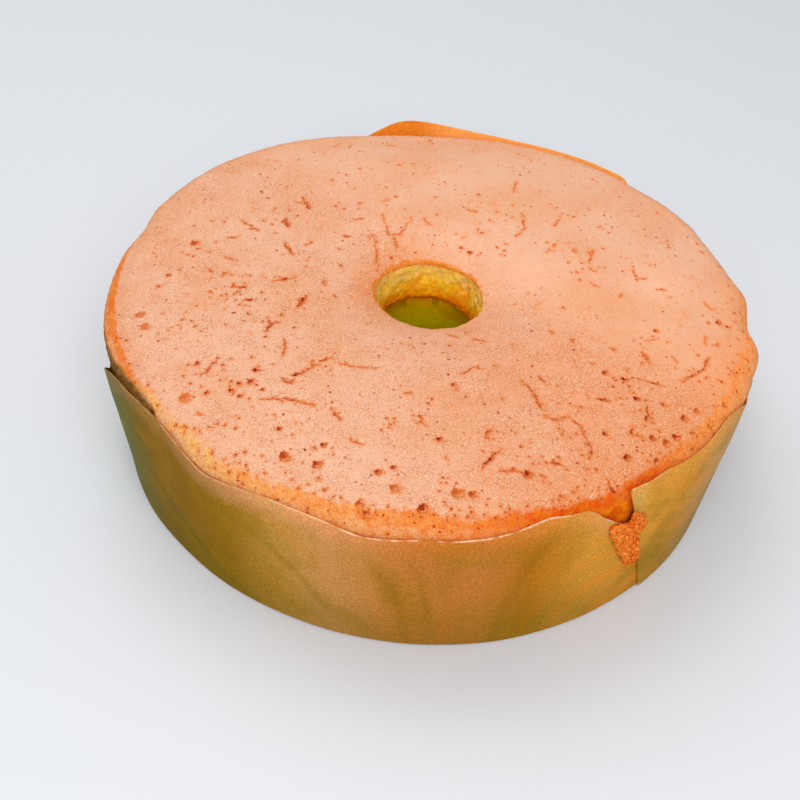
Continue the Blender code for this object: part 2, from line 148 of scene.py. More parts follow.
# ---- Cracks in the skin: (depth as a share of the deepest, half width, scorch,
# [(x, y), ...]), lengths in millimetres.
CRACKS = [
    (0.7, 0.25, 0.65, [(30, -47), (33, -52), (34, -56), (36, -59)]),
    (0.4, 0.45, 0.25, [(36, -60), (39, -62), (41, -60), (43, -60)]),
    (0.8, 0.25, 0.7, [(43, -60), (46, -63), (47.5, -68), (49, -72), (48, -76)]),
    (0.5, 0.4, 0.3, [(-33, -46), (-33, -49), (-36, -52)]),
    (0.6, 0.5, 0.8, [(-35.5, -52), (-38, -53)]),
    (0.5, 0.35, 0.5, [(-41, -54.5), (-40, -56), (-38, -56.5), (-37.5, -55)]),
    (0.5, 0.4, 0.4, [(-31, -46), (-28, -44)]),
    (0.3, 0.2, 0.3, [(-26, -46), (-20, -47), (-13, -46)]),
    (0.5, 0.3, 0.5, [(-46, -64), (-39, -63), (-34, -64), (-30, -65)]),
    (0.5, 0.4, 0.5, [(-25, -66), (-24, -68), (-22, -70)]),
    (0.5, 0.25, 0.7, [(-61, -47), (-62, -50), (-63.5, -54), (-67, -55)]),
    (0.4, 0.3, 0.4, [(-43, -37), (-42, -41), (-42, -45)]),
    (0.4, 0.22, 0.5, [(11, -46), (13, -44), (16, -41)]),
    (0.4, 0.22, 0.4, [(34, -43), (35, -45), (37, -47)]),
    (0.8, 0.5, 0.7, [(51, -51), (55, -51)]),
    (0.5, 0.35, 0.5, [(87, -25), (85, -31), (80, -36), (77, -39)]),
    (0.4, 0.22, 0.4, [(62, -40), (67, -41), (72, -42)]),
    (0.7, 0.45, 0.8, [(66, -52), (66, -55), (65, -58)]),
    (0.6, 0.4, 0.7, [(61, -61), (61, -64)]),
    (0.6, 0.35, 0.7, [(23, -76), (19, -82), (18, -84)]),
    (0.4, 0.35, 0.4, [(23, -84), (27, -83), (31, -84)]),
    (0.5, 0.4, 0.5, [(37, -78), (41, -79)]),
    (0.6, 0.4, 0.4, [(20, -68), (19, -72)]),
    (0.5, 0.4, 0.4, [(66, -27), (68, -33)]),
    (0.7, 0.4, 0.8, [(53, -82), (54, -84), (56, -85)]),
    (0.4, 0.22, 0.35, [(29, 44), (30, 35), (27, 30)]),
    (0.4, 0.2, 0.5, [(42, 42), (40, 37)]),
    (0.3, 0.22, 0.3, [(27, 65), (26, 56)]),
    (0.5, 0.4, 0.4, [(66, 15), (67, 9)]),
    (0.4, 0.4, 0.3, [(53, 24), (51, 16)]),
    (0.6, 0.5, 0.5, [(-47, 42), (-44, 35)]),
    (0.6, 0.6, 0.6, [(-51, 28), (-50, 23)]),
    (0.5, 0.4, 0.4, [(-66, 25), (-59, 19)]),
    (0.7, 0.45, 0.5, [(-50, 14), (-46, 7)]),
    (0.6, 0.5, 0.5, [(-50, -8), (-44, -5)]),
    (0.7, 0.55, 0.6, [(-39, -14), (-41, -20)]),
    (0.7, 0.5, 0.8, [(-58, -19), (-55, -18)]),
    (0.6, 0.5, 0.7, [(-49, -34), (-47, -29)]),
    (0.4, 0.22, 0.35, [(-22, 25), (-20, 22), (-18, 9)]),
    (0.3, 0.2, 0.35, [(-19, 36), (-16, 26), (-12, 27), (-9, 36)]),
    (0.6, 0.4, 0.6, [(-15, 17), (-14, 16)]),
    (0.6, 0.5, 0.5, [(-63, -13), (-58, -12)]),
]  # fmt: skip
CRACK_DEPTH = 0.6 * MM
CRACK_STEP = 0.25 * MM
CRACK_WANDER, CRACK_WANDER_LENGTH = 0.55, 1.1
CRACK_TAPER = 0.5
CRACK_UNEVENNESS, CRACK_THINNEST = 0.8, 0.25
CRACK_UNEVENNESS_LAYER = 4.2
# A crack's side branches: how often they come, how far along a stretch they start, their
# length, and their depth, width and scorch as shares of the crack's own.
SPUR_SPACING = 2.5
SPUR_CHANCE = 0.75
SPUR_ROOT = (0.2, 0.9)
SPUR_LENGTH = (0.6, 1.8)
SPUR_SHARES = (0.6, 0.7, 0.6)
# Small cracks strewn over the skin, with the ranges that their values are drawn from.
SHORT_CRACKS = 46
SHORT_HALF_LENGTH = (0.6, 2.2)
SHORT_BEND = (-0.8, 0.8)
SHORT_DEPTH = (0.2, 0.45)
SHORT_HALF_WIDTH = (0.25, 0.4)
SHORT_SCORCH = (0.1, 0.55)
# What is strewn lies within these radii, and outside the hole's share of the skin.
CRACKS_OUT_TO, BUBBLES_OUT_TO = 97, 98
HOLE_SHARE = 0.06

# ---- Burst bubbles in the skin: (x, y, radius, scorch), lengths in millimetres.
BUBBLES = [
    (-36, -85, 1.7, 0.6), (-27, -87, 1.4, 0.8), (-26, -80, 0.9, 0.9), (-10, -88, 1.0, 0.7),
    (-6, -86, 0.8, 0.8), (3, -99, 1.6, 0.8), (12, -93, 1.7, 0.3), (-5, -93, 1.4, 0.3),
    (-14, -99, 1.2, 0.5), (6, -74, 1.0, 1.0), (9, -51, 0.9, 1.0), (31, -84, 1.3, 1.0),
    (77, -54, 1.3, 0.6), (81, -50, 1.1, 0.3), (74, -62, 1.4, 0.9), (71, -65, 1.3, 0.5),
    (67, -64, 1.0, 0.6), (59, -73, 1.2, 1.0), (68, -72, 1.2, 0.6), (92, -7, 0.9, 1.0),
    (95, -8, 0.8, 1.0), (60, -41, 1.0, 1.0), (63, -49, 1.0, 1.0), (16, -93, 1.1, 0.5),
    (-79, 10, 1.4, 0.5), (-89, -28, 1.4, 0.2), (-86, -34, 1.3, 0.1), (-49, -52, 0.9, 1.0),
    (-50, -57, 1.0, 0.8), (-53, -58, 0.8, 0.9), (-55, -61, 0.8, 0.9), (-62, -62, 0.8, 0.9),
    (-68, -64, 1.8, 0.1), (-52, -63, 0.8, 0.8), (-67, -50, 0.9, 0.8), (12, 22, 0.8, 0.8),
    (9, 24, 0.6, 0.8), (71, -16, 0.9, 0.8), (-77, -67, 1.1, 1.0), (-84, -8, 0.8, 0.7),
    (-39, -75, 0.7, 0.9), (53, -65, 0.8, 0.9), (-46, -60, 0.6, 1.0), (-12, -101, 0.9, 0.7),
    (54, -39, 0.8, 0.9), (71, -50, 0.7, 0.8), (-30, 6, 0.6, 0.7), (-86, -14, 0.6, 0.7),
]  # fmt: skip

# Where small bubbles gather: (x, y, spread, how many), lengths in millimetres.
BUBBLE_CLUSTERS = [
    (-62, -20, 9, 26), (-48, -30, 6, 8), (-78, 0, 6, 6), (-76, -34, 7, 10), (-60, -56, 9, 18),
    (-50, -72, 8, 8), (-56, -84, 9, 12), (-28, -90, 10, 10), (-8, -70, 3, 9), (0, -66, 2, 6),
    (3, -60, 2, 5), (-14, -100, 4, 8), (8, -92, 8, 10), (60, -42, 5, 12), (64, -52, 6, 9),
    (72, -62, 9, 14), (48, -66, 12, 14), (36, -70, 14, 12), (91, -7, 3, 6), (86, -34, 8, 8),
    (26, 40, 16, 14), (46, 20, 14, 8), (20, 24, 8, 5), (-30, 50, 16, 8), (-60, 30, 12, 6),
]  # fmt: skip
CLUSTER_TIGHTNESS = 0.6
SMALL_BUBBLE = (0.16, 0.42)
CLUSTER_SCORCH = (0.5, 1)
STREWN_BUBBLES = 90
STREWN_SCORCH = (0.2, 0.9)
# Those along the rim lie between two azimuths, and are thickest at the third.
RIM_BUBBLES = 170
RIM_BUBBLE = (0.16, 0.5)
RIM_BUBBLE_RADII = (98, 104)
RIM_BUBBLE_AZIMUTHS = (-80, 125, 40)
RIM_SCORCH = (0.4, 1)
BUBBLES_FROM, BUBBLES_TO = 20.5, 104.5
BUBBLE_DEPTH, DEEPEST_BUBBLE = 0.5, 0.5
DEEPEST = 1.7 * MM
BOWL_POWER = 1.5

# The material colours each face by the one mark that it lies nearest to, up to this far
# off. Any other face is told that it lies this many radii away.
MARK_REACH = 1.4 * MM
NO_MARK = 9.0
# Where a burst bubble is darkest, at its upper left, which is painted shade on its scorched
# end, and where it is lighter, at its lower right, which is a painted highlight: from its
# middle, in shares of its radius; and how far their outlines stray.
SHADED_SCORCH_SIDE = (-0.35, 0.35, 0)
LIT_SIDE = (0.45, -0.45, 0)
RAGGEDNESS = 1.5

# The skin is split finer at cracks and bubbles, in rounds: (how far beyond a mark it
# reaches, the largest face that it leaves alone, the smallest mark that it serves).
SPLIT_ROUNDS = [
    (0.9 * MM, 0.2 * MM**2, 0),
    (0.5 * MM, 0.2 * MM**2, 0),
    (0.3 * MM, 0.05 * MM**2, 0.75 * MM),
]  # fmt: skip
RIM_SPLIT_RADIUS = 95 * MM
RIM_SPLIT_HEIGHT = 38 * MM

# ---- How the cake's colours go round the ring.
# The browned band at the rim: (azimuth, radius in millimetres where it starts, strength).
BROWNED = [
    (-150, 103.2, 0.7), (-105, 101.8, 0.7), (-95, 102.0, 0.7), (-70, 101.2, 0.8),
    (-59, 100.0, 0.8), (-52, 98.9, 0.6), (-43, 98.9, 0.6), (-36, 99.6, 0.7),
    (-30, 100.4, 0.8), (-17, 100.2, 0.9), (0, 100.0, 0.95), (13, 101.6, 1.1),
    (23, 100.8, 1.25), (30, 101.2, 1.25), (39, 99.8, 1.25), (50, 98.8, 1.0),
    (58, 98.2, 0.8), (67, 98.4, 0.75), (76, 99.0, 0.68), (86, 100.2, 0.6),
    (100, 102.4, 0.5), (130, 103.4, 0.65), (175, 103.2, 0.75),
]  # fmt: skip
BROWNED_FADE = 3.2 * MM
BROWNED_STRAY, BROWNED_STRAY_LENGTH = 0.8 * MM, 9 * MM
# A fainter glow spreads inwards from the band: (azimuth, strength, millimetres wide).
GLOW = [
    (-150, 0.2, 16), (-100, 0.35, 16), (-70, 0.2, 16), (-45, 0.1, 16), (-20, 0.15, 16),
    (0, 0.3, 17), (15, 0.6, 21), (30, 0.9, 25), (50, 0.85, 25), (70, 0.8, 18),
    (90, 0.6, 16), (120, 0.3, 16), (170, 0.2, 16),
]  # fmt: skip
# Where the rim is deepest in colour: (azimuth, strength).
DEEP_RIM = [
    (-100, 0), (-86, 0.45), (-56, 0.45), (-48, 0), (-12, 0), (2, 0.25), (10, 0.5),
    (18, 0.9), (26, 1), (40, 0.9), (50, 0.25), (60, 0), (120, 0),
]  # fmt: skip
# Where it has rubbed down to pale crumb towards the paper, and below which height:
# (azimuth, strength) and (azimuth, millimetres).
RUBBED_RIM = [
    (-120, 0.3), (-90, 1), (-56, 1), (-46, 0.2), (-34, 0.5), (-15, 0.8), (2, 0.8),
    (12, 0.4), (24, 0), (42, 0), (52, 0.4), (74, 0.9), (92, 0.95), (140, 0),
]  # fmt: skip
RUBBED_BELOW = [
    (-100, 55.0), (-80, 55.2), (-68, 55.6), (-60, 56.0), (-52, 56.4), (-42, 54.8),
    (150, 54.8),
]  # fmt: skip
RUBBED_FADE = 1.4 * MM
RUBBED_STRENGTH, RUBBED_UNEVENNESS, RUBBED_LENGTH = 0.85, 0.9, 3.5 * MM
# Where the whole band is pale crumb: (azimuth, strength).
CRUMB_RIM = [(-57, 0), (-50, 0.9), (-36, 0.8), (-24, 0.3), (-10, 0), (140, 0)]
CRUMB_FADE = 2 * MM

# Where the bare side begins under the rim, and where it is painted dark olive-brown as
# shade rather than golden: (azimuth, millimetres high) and (azimuth, strength). At the
# left the side's painted shade reaches up over the rim's outer lip.
SIDE_TOP = [
    (-170, 47), (-100, 49), (-86, 51.2), (-76, 52.4), (-70, 53.2), (-66, 53.7),
    (-61, 54.9), (-56, 55.8), (-50, 55.6), (-44, 50), (-30, 47.5), (20, 47), (27, 48.5),
    (32, 53), (40, 52.5), (44, 48), (60, 47.5), (100, 46),
]  # fmt: skip
SIDE_FADE = 1.5 * MM
SIDE_STRAY, SIDE_STRAY_LENGTH = 0.5 * MM, 7 * MM
SHADED_SIDE = [(-120, 0), (-92, 1), (-48, 1), (-38, 0), (100, 0)]

# Broad patches of the skin that are warmer or paler: (x, y, reach), in millimetres.
WARM_PATCHES = [(48, -48, 48), (18, -85, 10), (34, -83, 10)]
PALE_PATCHES = [(-35, -85, 32), (29, 5, 14), (76, 10, 13), (-72, 22, 18)]
# Its grain weakens towards the back right, over this width about the hole.
GRAIN_LOSS, GRAIN_LOSS_WIDTH = 0.6, 30 * MM
BACK_RIGHT = (0.6, 0.8)

# The skin is deeper in colour beside the hole: (azimuth, strength).
HOLE_GLOW = [
    (-170, 0.5), (-130, 0.9), (-90, 1.0), (-50, 0.6), (0, 0.3), (60, 0.15), (130, 0.2),
]  # fmt: skip
HOLE_GLOW_RADIUS = 34 * MM
# The hole has an orange lip, this wide on the skin and this deep in the throat:
# (azimuth, millimetres).
LIP_WIDTH = [
    (-170, 1.1), (-140, 1.6), (-105, 1.2), (-60, 0.5), (-20, 0.15), (30, 0.1),
    (80, 0.2), (115, 0.4), (145, 0.8),
]  # fmt: skip
LIP_DROP = [
    (-170, 1.4), (-130, 0.8), (-90, 0.5), (-40, 0.1), (60, 0.1), (100, 0.4),
    (130, 1.0), (160, 1.5),
]  # fmt: skip
LIP_RAGGEDNESS, LIP_RAG_LENGTH = 0.9, 3 * MM
# It fades out over one width, and ends at this many.
LIP_END = 1.5

# ---- The paper collar, as its solid has it. Its azimuths run on past 360 to the inner
# end, which lies under the outer end at the lap.
PAPER_THICKNESS = 0.4 * MM
PAPER_CLEARANCE = 0.35 * MM
PAPER_BOTTOM = 0.8 * MM
LAP_LIFT = 0.8 * MM
LAP_RELEASE = 30
OUTER_END_TOP, OUTER_END_BOTTOM = 34.6, 46.5
INNER_END = 412
SEAM_TOP_HEIGHT = 57 * MM
# The top edge: (azimuth, millimetres high). It runs straight between these points, and
# its corners are eased over this much.
PAPER_TOP = [
    (34, 58.8), (37, 58.6), (41, 57.0), (46, 54.9), (50.5, 54.3), (56, 54.5), (60, 54.9),
    (63, 54.5), (67, 52.4), (71, 47.0), (76, 43.0), (105, 43.0), (125, 47.0),
    (138.2, 51.5), (139.8, 54.6), (148, 55.1), (155, 55.0), (165, 54.5), (173, 54.9),
    (178, 55.9), (183, 57.1), (187.5, 57.9), (190.5, 57.0), (195, 52.5), (198, 48.5),
    (215, 46.0), (240, 41.0), (260, 34.0), (276, 30.5), (283, 33.5), (288, 41.0),
    (292, 46.0), (299, 54.0), (303, 57.0), (308, 56.9), (312, 55.1), (319, 52.3),
    (325, 49.4), (332, 51.8), (338, 53.2), (344, 52.9), (348, 52.0), (352.5, 49.6),
    (357, 50.3), (361, 51.5), (367, 51.6), (372, 52.4), (377, 54.2), (381, 55.5),
    (385, 54.5), (387.4, 54.4), (388.4, 54.4), (389.8, 51.6), (391.2, 49.3),
    (393.2, 46.3), (397.4, 38.6), (401, 37.0), (412, 37.0),
]  # fmt: skip
EDGE_EASING = np.linspace(-1.1, 1.1, 7)
# How far the paper stands off the cake: (azimuth, millimetres).
PAPER_STANDOFF = [
    (60, 0.0), (85, 0.1), (110, 0.3), (135, 0.6), (160, 0.6), (187, 1.6), (200, 1.2),
    (235, 0.8), (258, 0.7), (280, 0.8), (292, 1.3), (304, 1.4), (315, 0.7), (325, 0.2),
    (345, 0.5), (355, 0.2), (395, 0.0),
]  # fmt: skip
PAPER_WAVE = 0.25 * MM
PAPER_WAVES_ROUND = 4
PAPER_WAVE_HEIGHT = 10 * MM
PAPER_COLUMNS, PAPER_ROWS = 620, 36
# Near its top edge the paper leans in over the rounded rim, by a share of the space that
# there is: (azimuth, share).
PAPER_LEAN = [
    (38, 0), (47, 0.6), (60, 0.75), (82, 0.75), (100, 0), (306, 0), (318, 0.6),
    (386, 0.75), (396, 0),
]  # fmt: skip
LEAN_HEIGHT = 42 * MM
LEAN_CLEARANCE = 0.5 * MM
# The rim's rounding is followed up to this share of its height, short of lying flat.
LEAN_LIMIT = 0.98
# Its top edge is pale in places, worn and with a painted highlight: (azimuth, strength).
WORN_GLINTING_EDGE = [
    (34, 0.8), (38, 0.3), (50, 0.1), (140, 0.1), (200, 0.2), (300, 0.1), (330, 0.3),
    (352, 1), (398, 1),
]  # fmt: skip
# At the back its inner colour runs over the top edge: (azimuth, strength).
EDGE_GLOW = [(125, 0), (136, 1), (204, 1), (215, 0)]
# The folds run in streaks, which slant by this much at two shares of the way round.
PAPER_LENGTH, STREAK_WIDTH = 690 * MM, 16 * MM
SLANT_SHARES, SLANTS = (0.80, 0.97), (-2.4, 2.4)
STREAK_STRETCH = 0.3

# ---- Batter that ran out through the lap and baked on: rows of (height, left, right)
# azimuth, the height in millimetres at the middle azimuth. The rows fall to the right.
DRIP_ROWS = [
    (22.4, 39.6, 40.4), (23.6, 38.5, 41.0), (26.4, 37.3, 41.5), (29.4, 35.7, 41.2),
    (33.6, 34.2, 40.1), (36.4, 32.9, 39.5), (39.1, 32.3, 39.0), (40.4, 32.3, 39.6),
    (41.3, 32.6, 39.8), (42.0, 33.6, 39.9), (42.6, 36.2, 39.9), (43.6, 36.3, 39.9),
    (46.0, 36.0, 39.5), (47.0, 35.9, 38.6), (48.0, 36.0, 37.0),
]  # fmt: skip
DRIP_MIDDLE, DRIP_FALL = 37, 1.0
DRIP_CLEARANCE = 0.3 * MM
DRIP_THICKNESS = 1.7 * MM
DRIP_EDGE = 0.7 * MM
DRIP_CRUMB, DRIP_CRUMB_LENGTH = 0.7 * MM, 2.6 * MM
DRIP_LUMPS, DRIP_LUMP_SIZE = 1.9 * MM, 1.3 * MM
DRIP_COLUMNS, DRIP_LINES = 44, 104
DRIP_STEP_BEFORE, DRIP_STEP_WIDTH = 1.2, 0.9
DRIP_SIDE_POWER, DRIP_END_POWER = 4, 6


# ---------------------------------------------------------------- measuring and easing


def colour(red, green, blue):
    """A colour as a screen shows it, 0 to 255 a channel, in the shader's linear terms."""
    shares = [channel / 255 for channel in (red, green, blue)]
    linear = [
        share / 12.92 if share <= 0.04045 else ((share + 0.055) / 1.055) ** 2.4
        for share in shares
    ]
    return (*linear, 1)


def ease(share):
    """Goes smoothly from 0 to 1 as the share does, and holds outside that range."""
    share = np.clip(share, 0, 1)
    return share * share * (3 - 2 * share)


def along(stations, spots, column=1):
    """The value at each spot, eased between the stations on either side of it."""
    places = np.array([station[0] for station in stations], float)
    values = np.array([station[column] for station in stations], float)
    after = np.clip(np.searchsorted(places, spots), 1, len(places) - 1)
    share = ease((spots - places[after - 1]) / (places[after] - places[after - 1]))
    return values[after - 1] + (values[after] - values[after - 1]) * share


def round_the_ring(stations, azimuths, column=1):
    """As along(), for stations that close on themselves after 360 degrees."""
    first, last = stations[0], stations[-1]
    before, after = (last[0] - 360, *last[1:]), (first[0] + 360, *first[1:])
    return along([before, *stations, after], (azimuths - first[0]) % 360 + first[0], column)


def points_of(piece):
    """The place of every vertex, a row each."""
    points = np.empty(len(piece.data.vertices) * 3)
    piece.data.vertices.foreach_get("co", points)
    return points.reshape(-1, 3)


def put_points(piece, points):
    piece.data.vertices.foreach_set("co", points.ravel())
    piece.data.update()


def polar(points):
    """The radius and the azimuth of each point."""
    radius = np.hypot(points[:, 0], points[:, 1])
    return radius, np.degrees(np.arctan2(points[:, 0], -points[:, 1]))


def place(radius, azimuth, height):
    """The points at these radii, azimuths and heights."""
    angle = np.radians(azimuth)
    return np.column_stack((radius * np.sin(angle), -radius * np.cos(angle), height))


def noise_at(points, length):
    """Smooth noise from -1 to 1 at each point, with lumps about this long."""
    return np.array([noise.noise(Vector(point)) for point in points / length])


def tree_of(points):
    """A search tree of these points."""
    tree = KDTree(len(points))
    for index, point in enumerate(points):
        tree.insert(point, index)
    tree.balance()
    return tree


def swell_at(azimuth, height):
    """How far the cake swells past its turned radius, less so towards the base."""
    share = np.clip(height / RIM_HEIGHT, 0, 1)
    strength = SWELL_AT_BASE + (1 - SWELL_AT_BASE) * share
    return round_the_ring(RIM_SWELL, azimuth) * MM * strength


def side_radius(azimuth, height):
    """The outer radius of the cake at a height, held at the rim's radius above the rim."""
    share = np.clip(height / RIM_HEIGHT, 0, 1)
    return BASE_RADIUS + (RIM_RADIUS - BASE_RADIUS) * share + swell_at(azimuth, height)


# ---------------------------------------------------------------- modelling by hand


def draw_outline(name, outline):
    """A line of edges through (radius, height) points, extruded from one point."""
    spots = [Vector((radius, 0, height)) for radius, height in outline]
    bpy.ops.object.select_all(action="DESELECT")
    bpy.ops.mesh.primitive_plane_add(size=MM)
    piece = bpy.context.object
    piece.name = name
    bpy.ops.object.mode_set(mode="EDIT")
    bpy.ops.mesh.merge(type="CENTER")
    bpy.ops.transform.translate(value=spots[0])
    for start, end in zip(spots, spots[1:]):
        bpy.ops.mesh.extrude_region_move(TRANSFORM_OT_translate={"value": end - start})
    return piece


def turn_outline(steps):
    """Spins the outline being edited once round +Z, and closes the seam."""
    bpy.ops.mesh.select_all(action="SELECT")
    bpy.ops.mesh.spin(steps=steps, angle=2 * math.pi, center=(0, 0, 0), axis=(0, 0, 1))
    bpy.ops.mesh.select_all(action="SELECT")
    bpy.ops.mesh.remove_doubles(threshold=WELD)
    bpy.ops.mesh.normals_make_consistent(inside=False)
    bpy.ops.object.mode_set(mode="OBJECT")


def draw_grid(name, columns, rows):
    """A flat grid of faces from -1 to 1 each way, in edit mode."""
    bpy.ops.object.select_all(action="DESELECT")
    bpy.ops.mesh.primitive_grid_add(x_subdivisions=columns, y_subdivisions=rows, size=2)
    piece = bpy.context.object
    piece.name = name
    bpy.ops.object.mode_set(mode="EDIT")
    return piece


def split_faces(piece, wanted):
    """Splits each face for which wanted is true into four."""
    mesh = piece.data
    mesh.vertices.foreach_set("select", np.zeros(len(mesh.vertices), bool))
    mesh.edges.foreach_set("select", np.zeros(len(mesh.edges), bool))
    mesh.polygons.foreach_set("select", wanted)
    bpy.context.tool_settings.mesh_select_mode = (False, False, True)
    bpy.context.view_layer.objects.active = piece
    bpy.ops.object.mode_set(mode="EDIT")
    bpy.ops.mesh.subdivide(number_cuts=1)
    bpy.ops.object.mode_set(mode="OBJECT")


def faces_of(piece):
    """The middle and the area of each face."""
    middles = np.empty(len(piece.data.polygons) * 3)
    areas = np.empty(len(piece.data.polygons))
    piece.data.polygons.foreach_get("center", middles)
    piece.data.polygons.foreach_get("area", areas)
    return middles.reshape(-1, 3), areas


def weigh(piece, name, weights):
    """A vertex group with these weights."""
    group = piece.vertex_groups.new(name=name)
    for index in np.flatnonzero(weights > LEAST_WEIGHT):
        group.add([int(index)], float(weights[index]), "REPLACE")


def press(piece, group, depth, texture=None):
    """Moves the group's points along their normals by this depth, outwards if positive."""
    modifier = piece.modifiers.new(group, "DISPLACE")
    modifier.vertex_group = group
    modifier.strength = depth
    modifier.mid_level = 0.5 if texture else 0
    modifier.texture = texture
    modifier.texture_coords = "LOCAL"
    bpy.context.view_layer.objects.active = piece
    bpy.ops.object.modifier_apply(modifier=modifier.name)


def lumps(name, size):
    """A cloudy texture with lumps of this size."""
    texture = bpy.data.textures.new(name, "CLOUDS")
    texture.noise_scale = size
    texture.noise_depth = 2
    return texture


def write_mask(piece, name, values):
    """Keeps a value at each point, for the piece's material to read."""
    kept = piece.data.attributes.new(name, "FLOAT", "POINT")
    kept.data.foreach_set("value", np.asarray(values, np.float32))


def write_at_corners(mesh, name, kind, field, values):
    """Keeps a value at each corner of each face, for the material to read."""
    kept = mesh.attributes.new(name, kind, "CORNER")
    kept.data.foreach_set(field, np.ascontiguousarray(values).ravel())


def smooth(piece):
    bpy.ops.object.select_all(action="DESELECT")
    piece.select_set(True)
    bpy.context.view_layer.objects.active = piece
    bpy.ops.object.shade_smooth_by_angle(angle=SMOOTH_ANGLE)


# ---------------------------------------------------------------- the ring of cake


def between(start, end, steps):
    """Points from the start, on the straight line to the end, without the end."""
    start, end = np.array(start), np.array(end)
    return [tuple(start + (end - start) * step / steps) for step in range(steps)]


def cake_outline():
    """The closed (radius, height) outline, from the crest down the outer side and back."""
    outline = []
    fall = CREST_HEIGHT - RIM_HEIGHT - SHOULDER_HEIGHT
    for share in np.arange(TOP_STEPS) / TOP_STEPS:
        radius = CREST_RADIUS + (SHOULDER_RADIUS - CREST_RADIUS) * share
        outline.append((radius, CREST_HEIGHT - fall * share**2))
    for share in np.arange(SHOULDER_STEPS) / SHOULDER_STEPS:
        turn = 0.5 * math.pi * (1 - share)
        radius = SHOULDER_RADIUS + SHOULDER_WIDTH * math.cos(turn)
        outline.append((radius, RIM_HEIGHT + SHOULDER_HEIGHT * math.sin(turn)))
    rim, tube_top = (RIM_RADIUS, RIM_HEIGHT), (TUBE_TOP_RADIUS, TUBE_TOP_HEIGHT)
    ledge, throat = (LEDGE_RADIUS, LEDGE_HEIGHT), (THROAT_RADIUS, THROAT_HEIGHT)
    outline += between(rim, (BASE_RADIUS, BASE_EDGE), SIDE_STEPS)
    outline += [
        (BASE_RADIUS, BASE_EDGE),
        (BASE_RADIUS - BASE_EDGE, 0),
        (0.5 * (BASE_RADIUS + TUBE_BASE_RADIUS), 0),
        (TUBE_BASE_RADIUS + BASE_EDGE, 0),
    ]
    outline += between((TUBE_BASE_RADIUS, BASE_EDGE), tube_top, TUBE_STEPS)
    outline += between(tube_top, ledge, LEDGE_STEPS)
    outline += between(ledge, throat, THROAT_STEPS)
    outline += between(throat, (MOUTH_RADIUS, MOUTH_HEIGHT), MOUTH_STEPS)
    for share in (np.arange(DIP_STEPS) / DIP_STEPS) ** DIP_CROWDING:
        radius = MOUTH_RADIUS + (CREST_RADIUS - MOUTH_RADIUS) * share
        rise = 1 - (1 - share) ** DIP_POWER
        outline.append((radius, MOUTH_HEIGHT + (CREST_HEIGHT - MOUTH_HEIGHT) * rise))
    return outline + outline[:1]


def groove_fade(azimuth):
    """How much of the rim's left groove there is at an azimuth, from 0 to 1."""
    middle = 0.5 * (GROOVE_FROM + GROOVE_TO)
    return ease(2 * (1 - abs(azimuth - middle) / (0.5 * (GROOVE_TO - GROOVE_FROM))))


def swathe(azimuth, middle, half_turn):
    """1 at the middle azimuth, fading away on both sides of it."""
    aside = (azimuth - middle + 180) % 360 - 180
    return np.exp(-((aside / half_turn) ** 2))


def push_out(points, in_throat):
    """How far each point moves outwards, for the rim's swell, the throat's crumb and the mouth."""
    radius, azimuth = polar(points)
    height = points[:, 2]
    below_mouth = ease((MOUTH_HEIGHT - height) / MOUTH_EASING)
    crumb = THROAT_CRUMB * (CRUMB_AT_MOUTH + (1 - CRUMB_AT_MOUTH) * below_mouth)
    crumb = crumb * noise_at(points, THROAT_CRUMB_LENGTH)
    outward = ease((radius - SWELL_START_RADIUS) / (RIM_RADIUS - SWELL_START_RADIUS))
    push = np.where(in_throat, crumb, swell_at(azimuth, height) * outward)
    near_mouth = np.exp(-(((radius - MOUTH_RADIUS) / MOUTH_NARROWING_REACH) ** 2))
    narrowing = MOUTH_NARROWING * swathe(azimuth, LEDGE_SAG_AZIMUTH, LEDGE_SAG_HALF_TURN)
    return push - narrowing * near_mouth * (height > LEDGE_HEIGHT)


def ledge_sag(points, in_throat):
    """How far the ledge in the hole has sunk."""
    near_ledge = in_throat & (points[:, 2] < THROAT_HEIGHT + WELD)
    sag = LEDGE_SAG * swathe(polar(points)[1], LEDGE_SAG_AZIMUTH, LEDGE_SAG_HALF_TURN)
    return np.where(near_ledge, sag + LEDGE_WAVE * noise_at(points, LEDGE_WAVE_LENGTH), 0)


def skin_rise(points):
    """The skin's waves, less its droop at the back and the groove at the left."""
    radius, azimuth = polar(points)
    lift = ease((points[:, 2] - RIM_HEIGHT) / SHOULDER_HEIGHT)
    wave = SKIN_WAVE * noise_at(points, SKIN_WAVE_LENGTH)
    towards_rim = ease((radius - BACK_DROOP_START) / (SHOULDER_RADIUS - BACK_DROOP_START))
    droop = BACK_DROOP * towards_rim * swathe(azimuth, BACK_DROOP_AZIMUTH, BACK_DROOP_HALF_TURN)
    across = (radius - GROOVE_RADIUS) / GROOVE_HALF_WIDTH
    groove = GROOVE_DEPTH * groove_fade(azimuth) * np.exp(-(across**2))
    return lift * (wave - droop) - np.where(lift > 0, groove, 0)


def mask_hole(piece, points, in_throat):
    """Masks the hole, and the lip where the crust wraps over its edge."""
    radius, azimuth = polar(points)
    height = points[:, 2]
    ragged = 1 + LIP_RAGGEDNESS * noise_at(points, LIP_RAG_LENGTH)
    width = round_the_ring(LIP_WIDTH, azimuth) * MM * ragged
    drop = round_the_ring(LIP_DROP, azimuth) * MM
    out, down = (radius - MOUTH_RADIUS) / width, (MOUTH_HEIGHT - height) / drop
    lip = ease(LIP_END - np.where(in_throat, down, out))
    write_mask(piece, "lip", lip * (height > LEDGE_HEIGHT))
    low = (height < MOUTH_HEIGHT) & (radius < HOLE_OR_SIDE)
    write_mask(piece, "in_hole", (radius < MOUTH_RADIUS + WELD) | low)


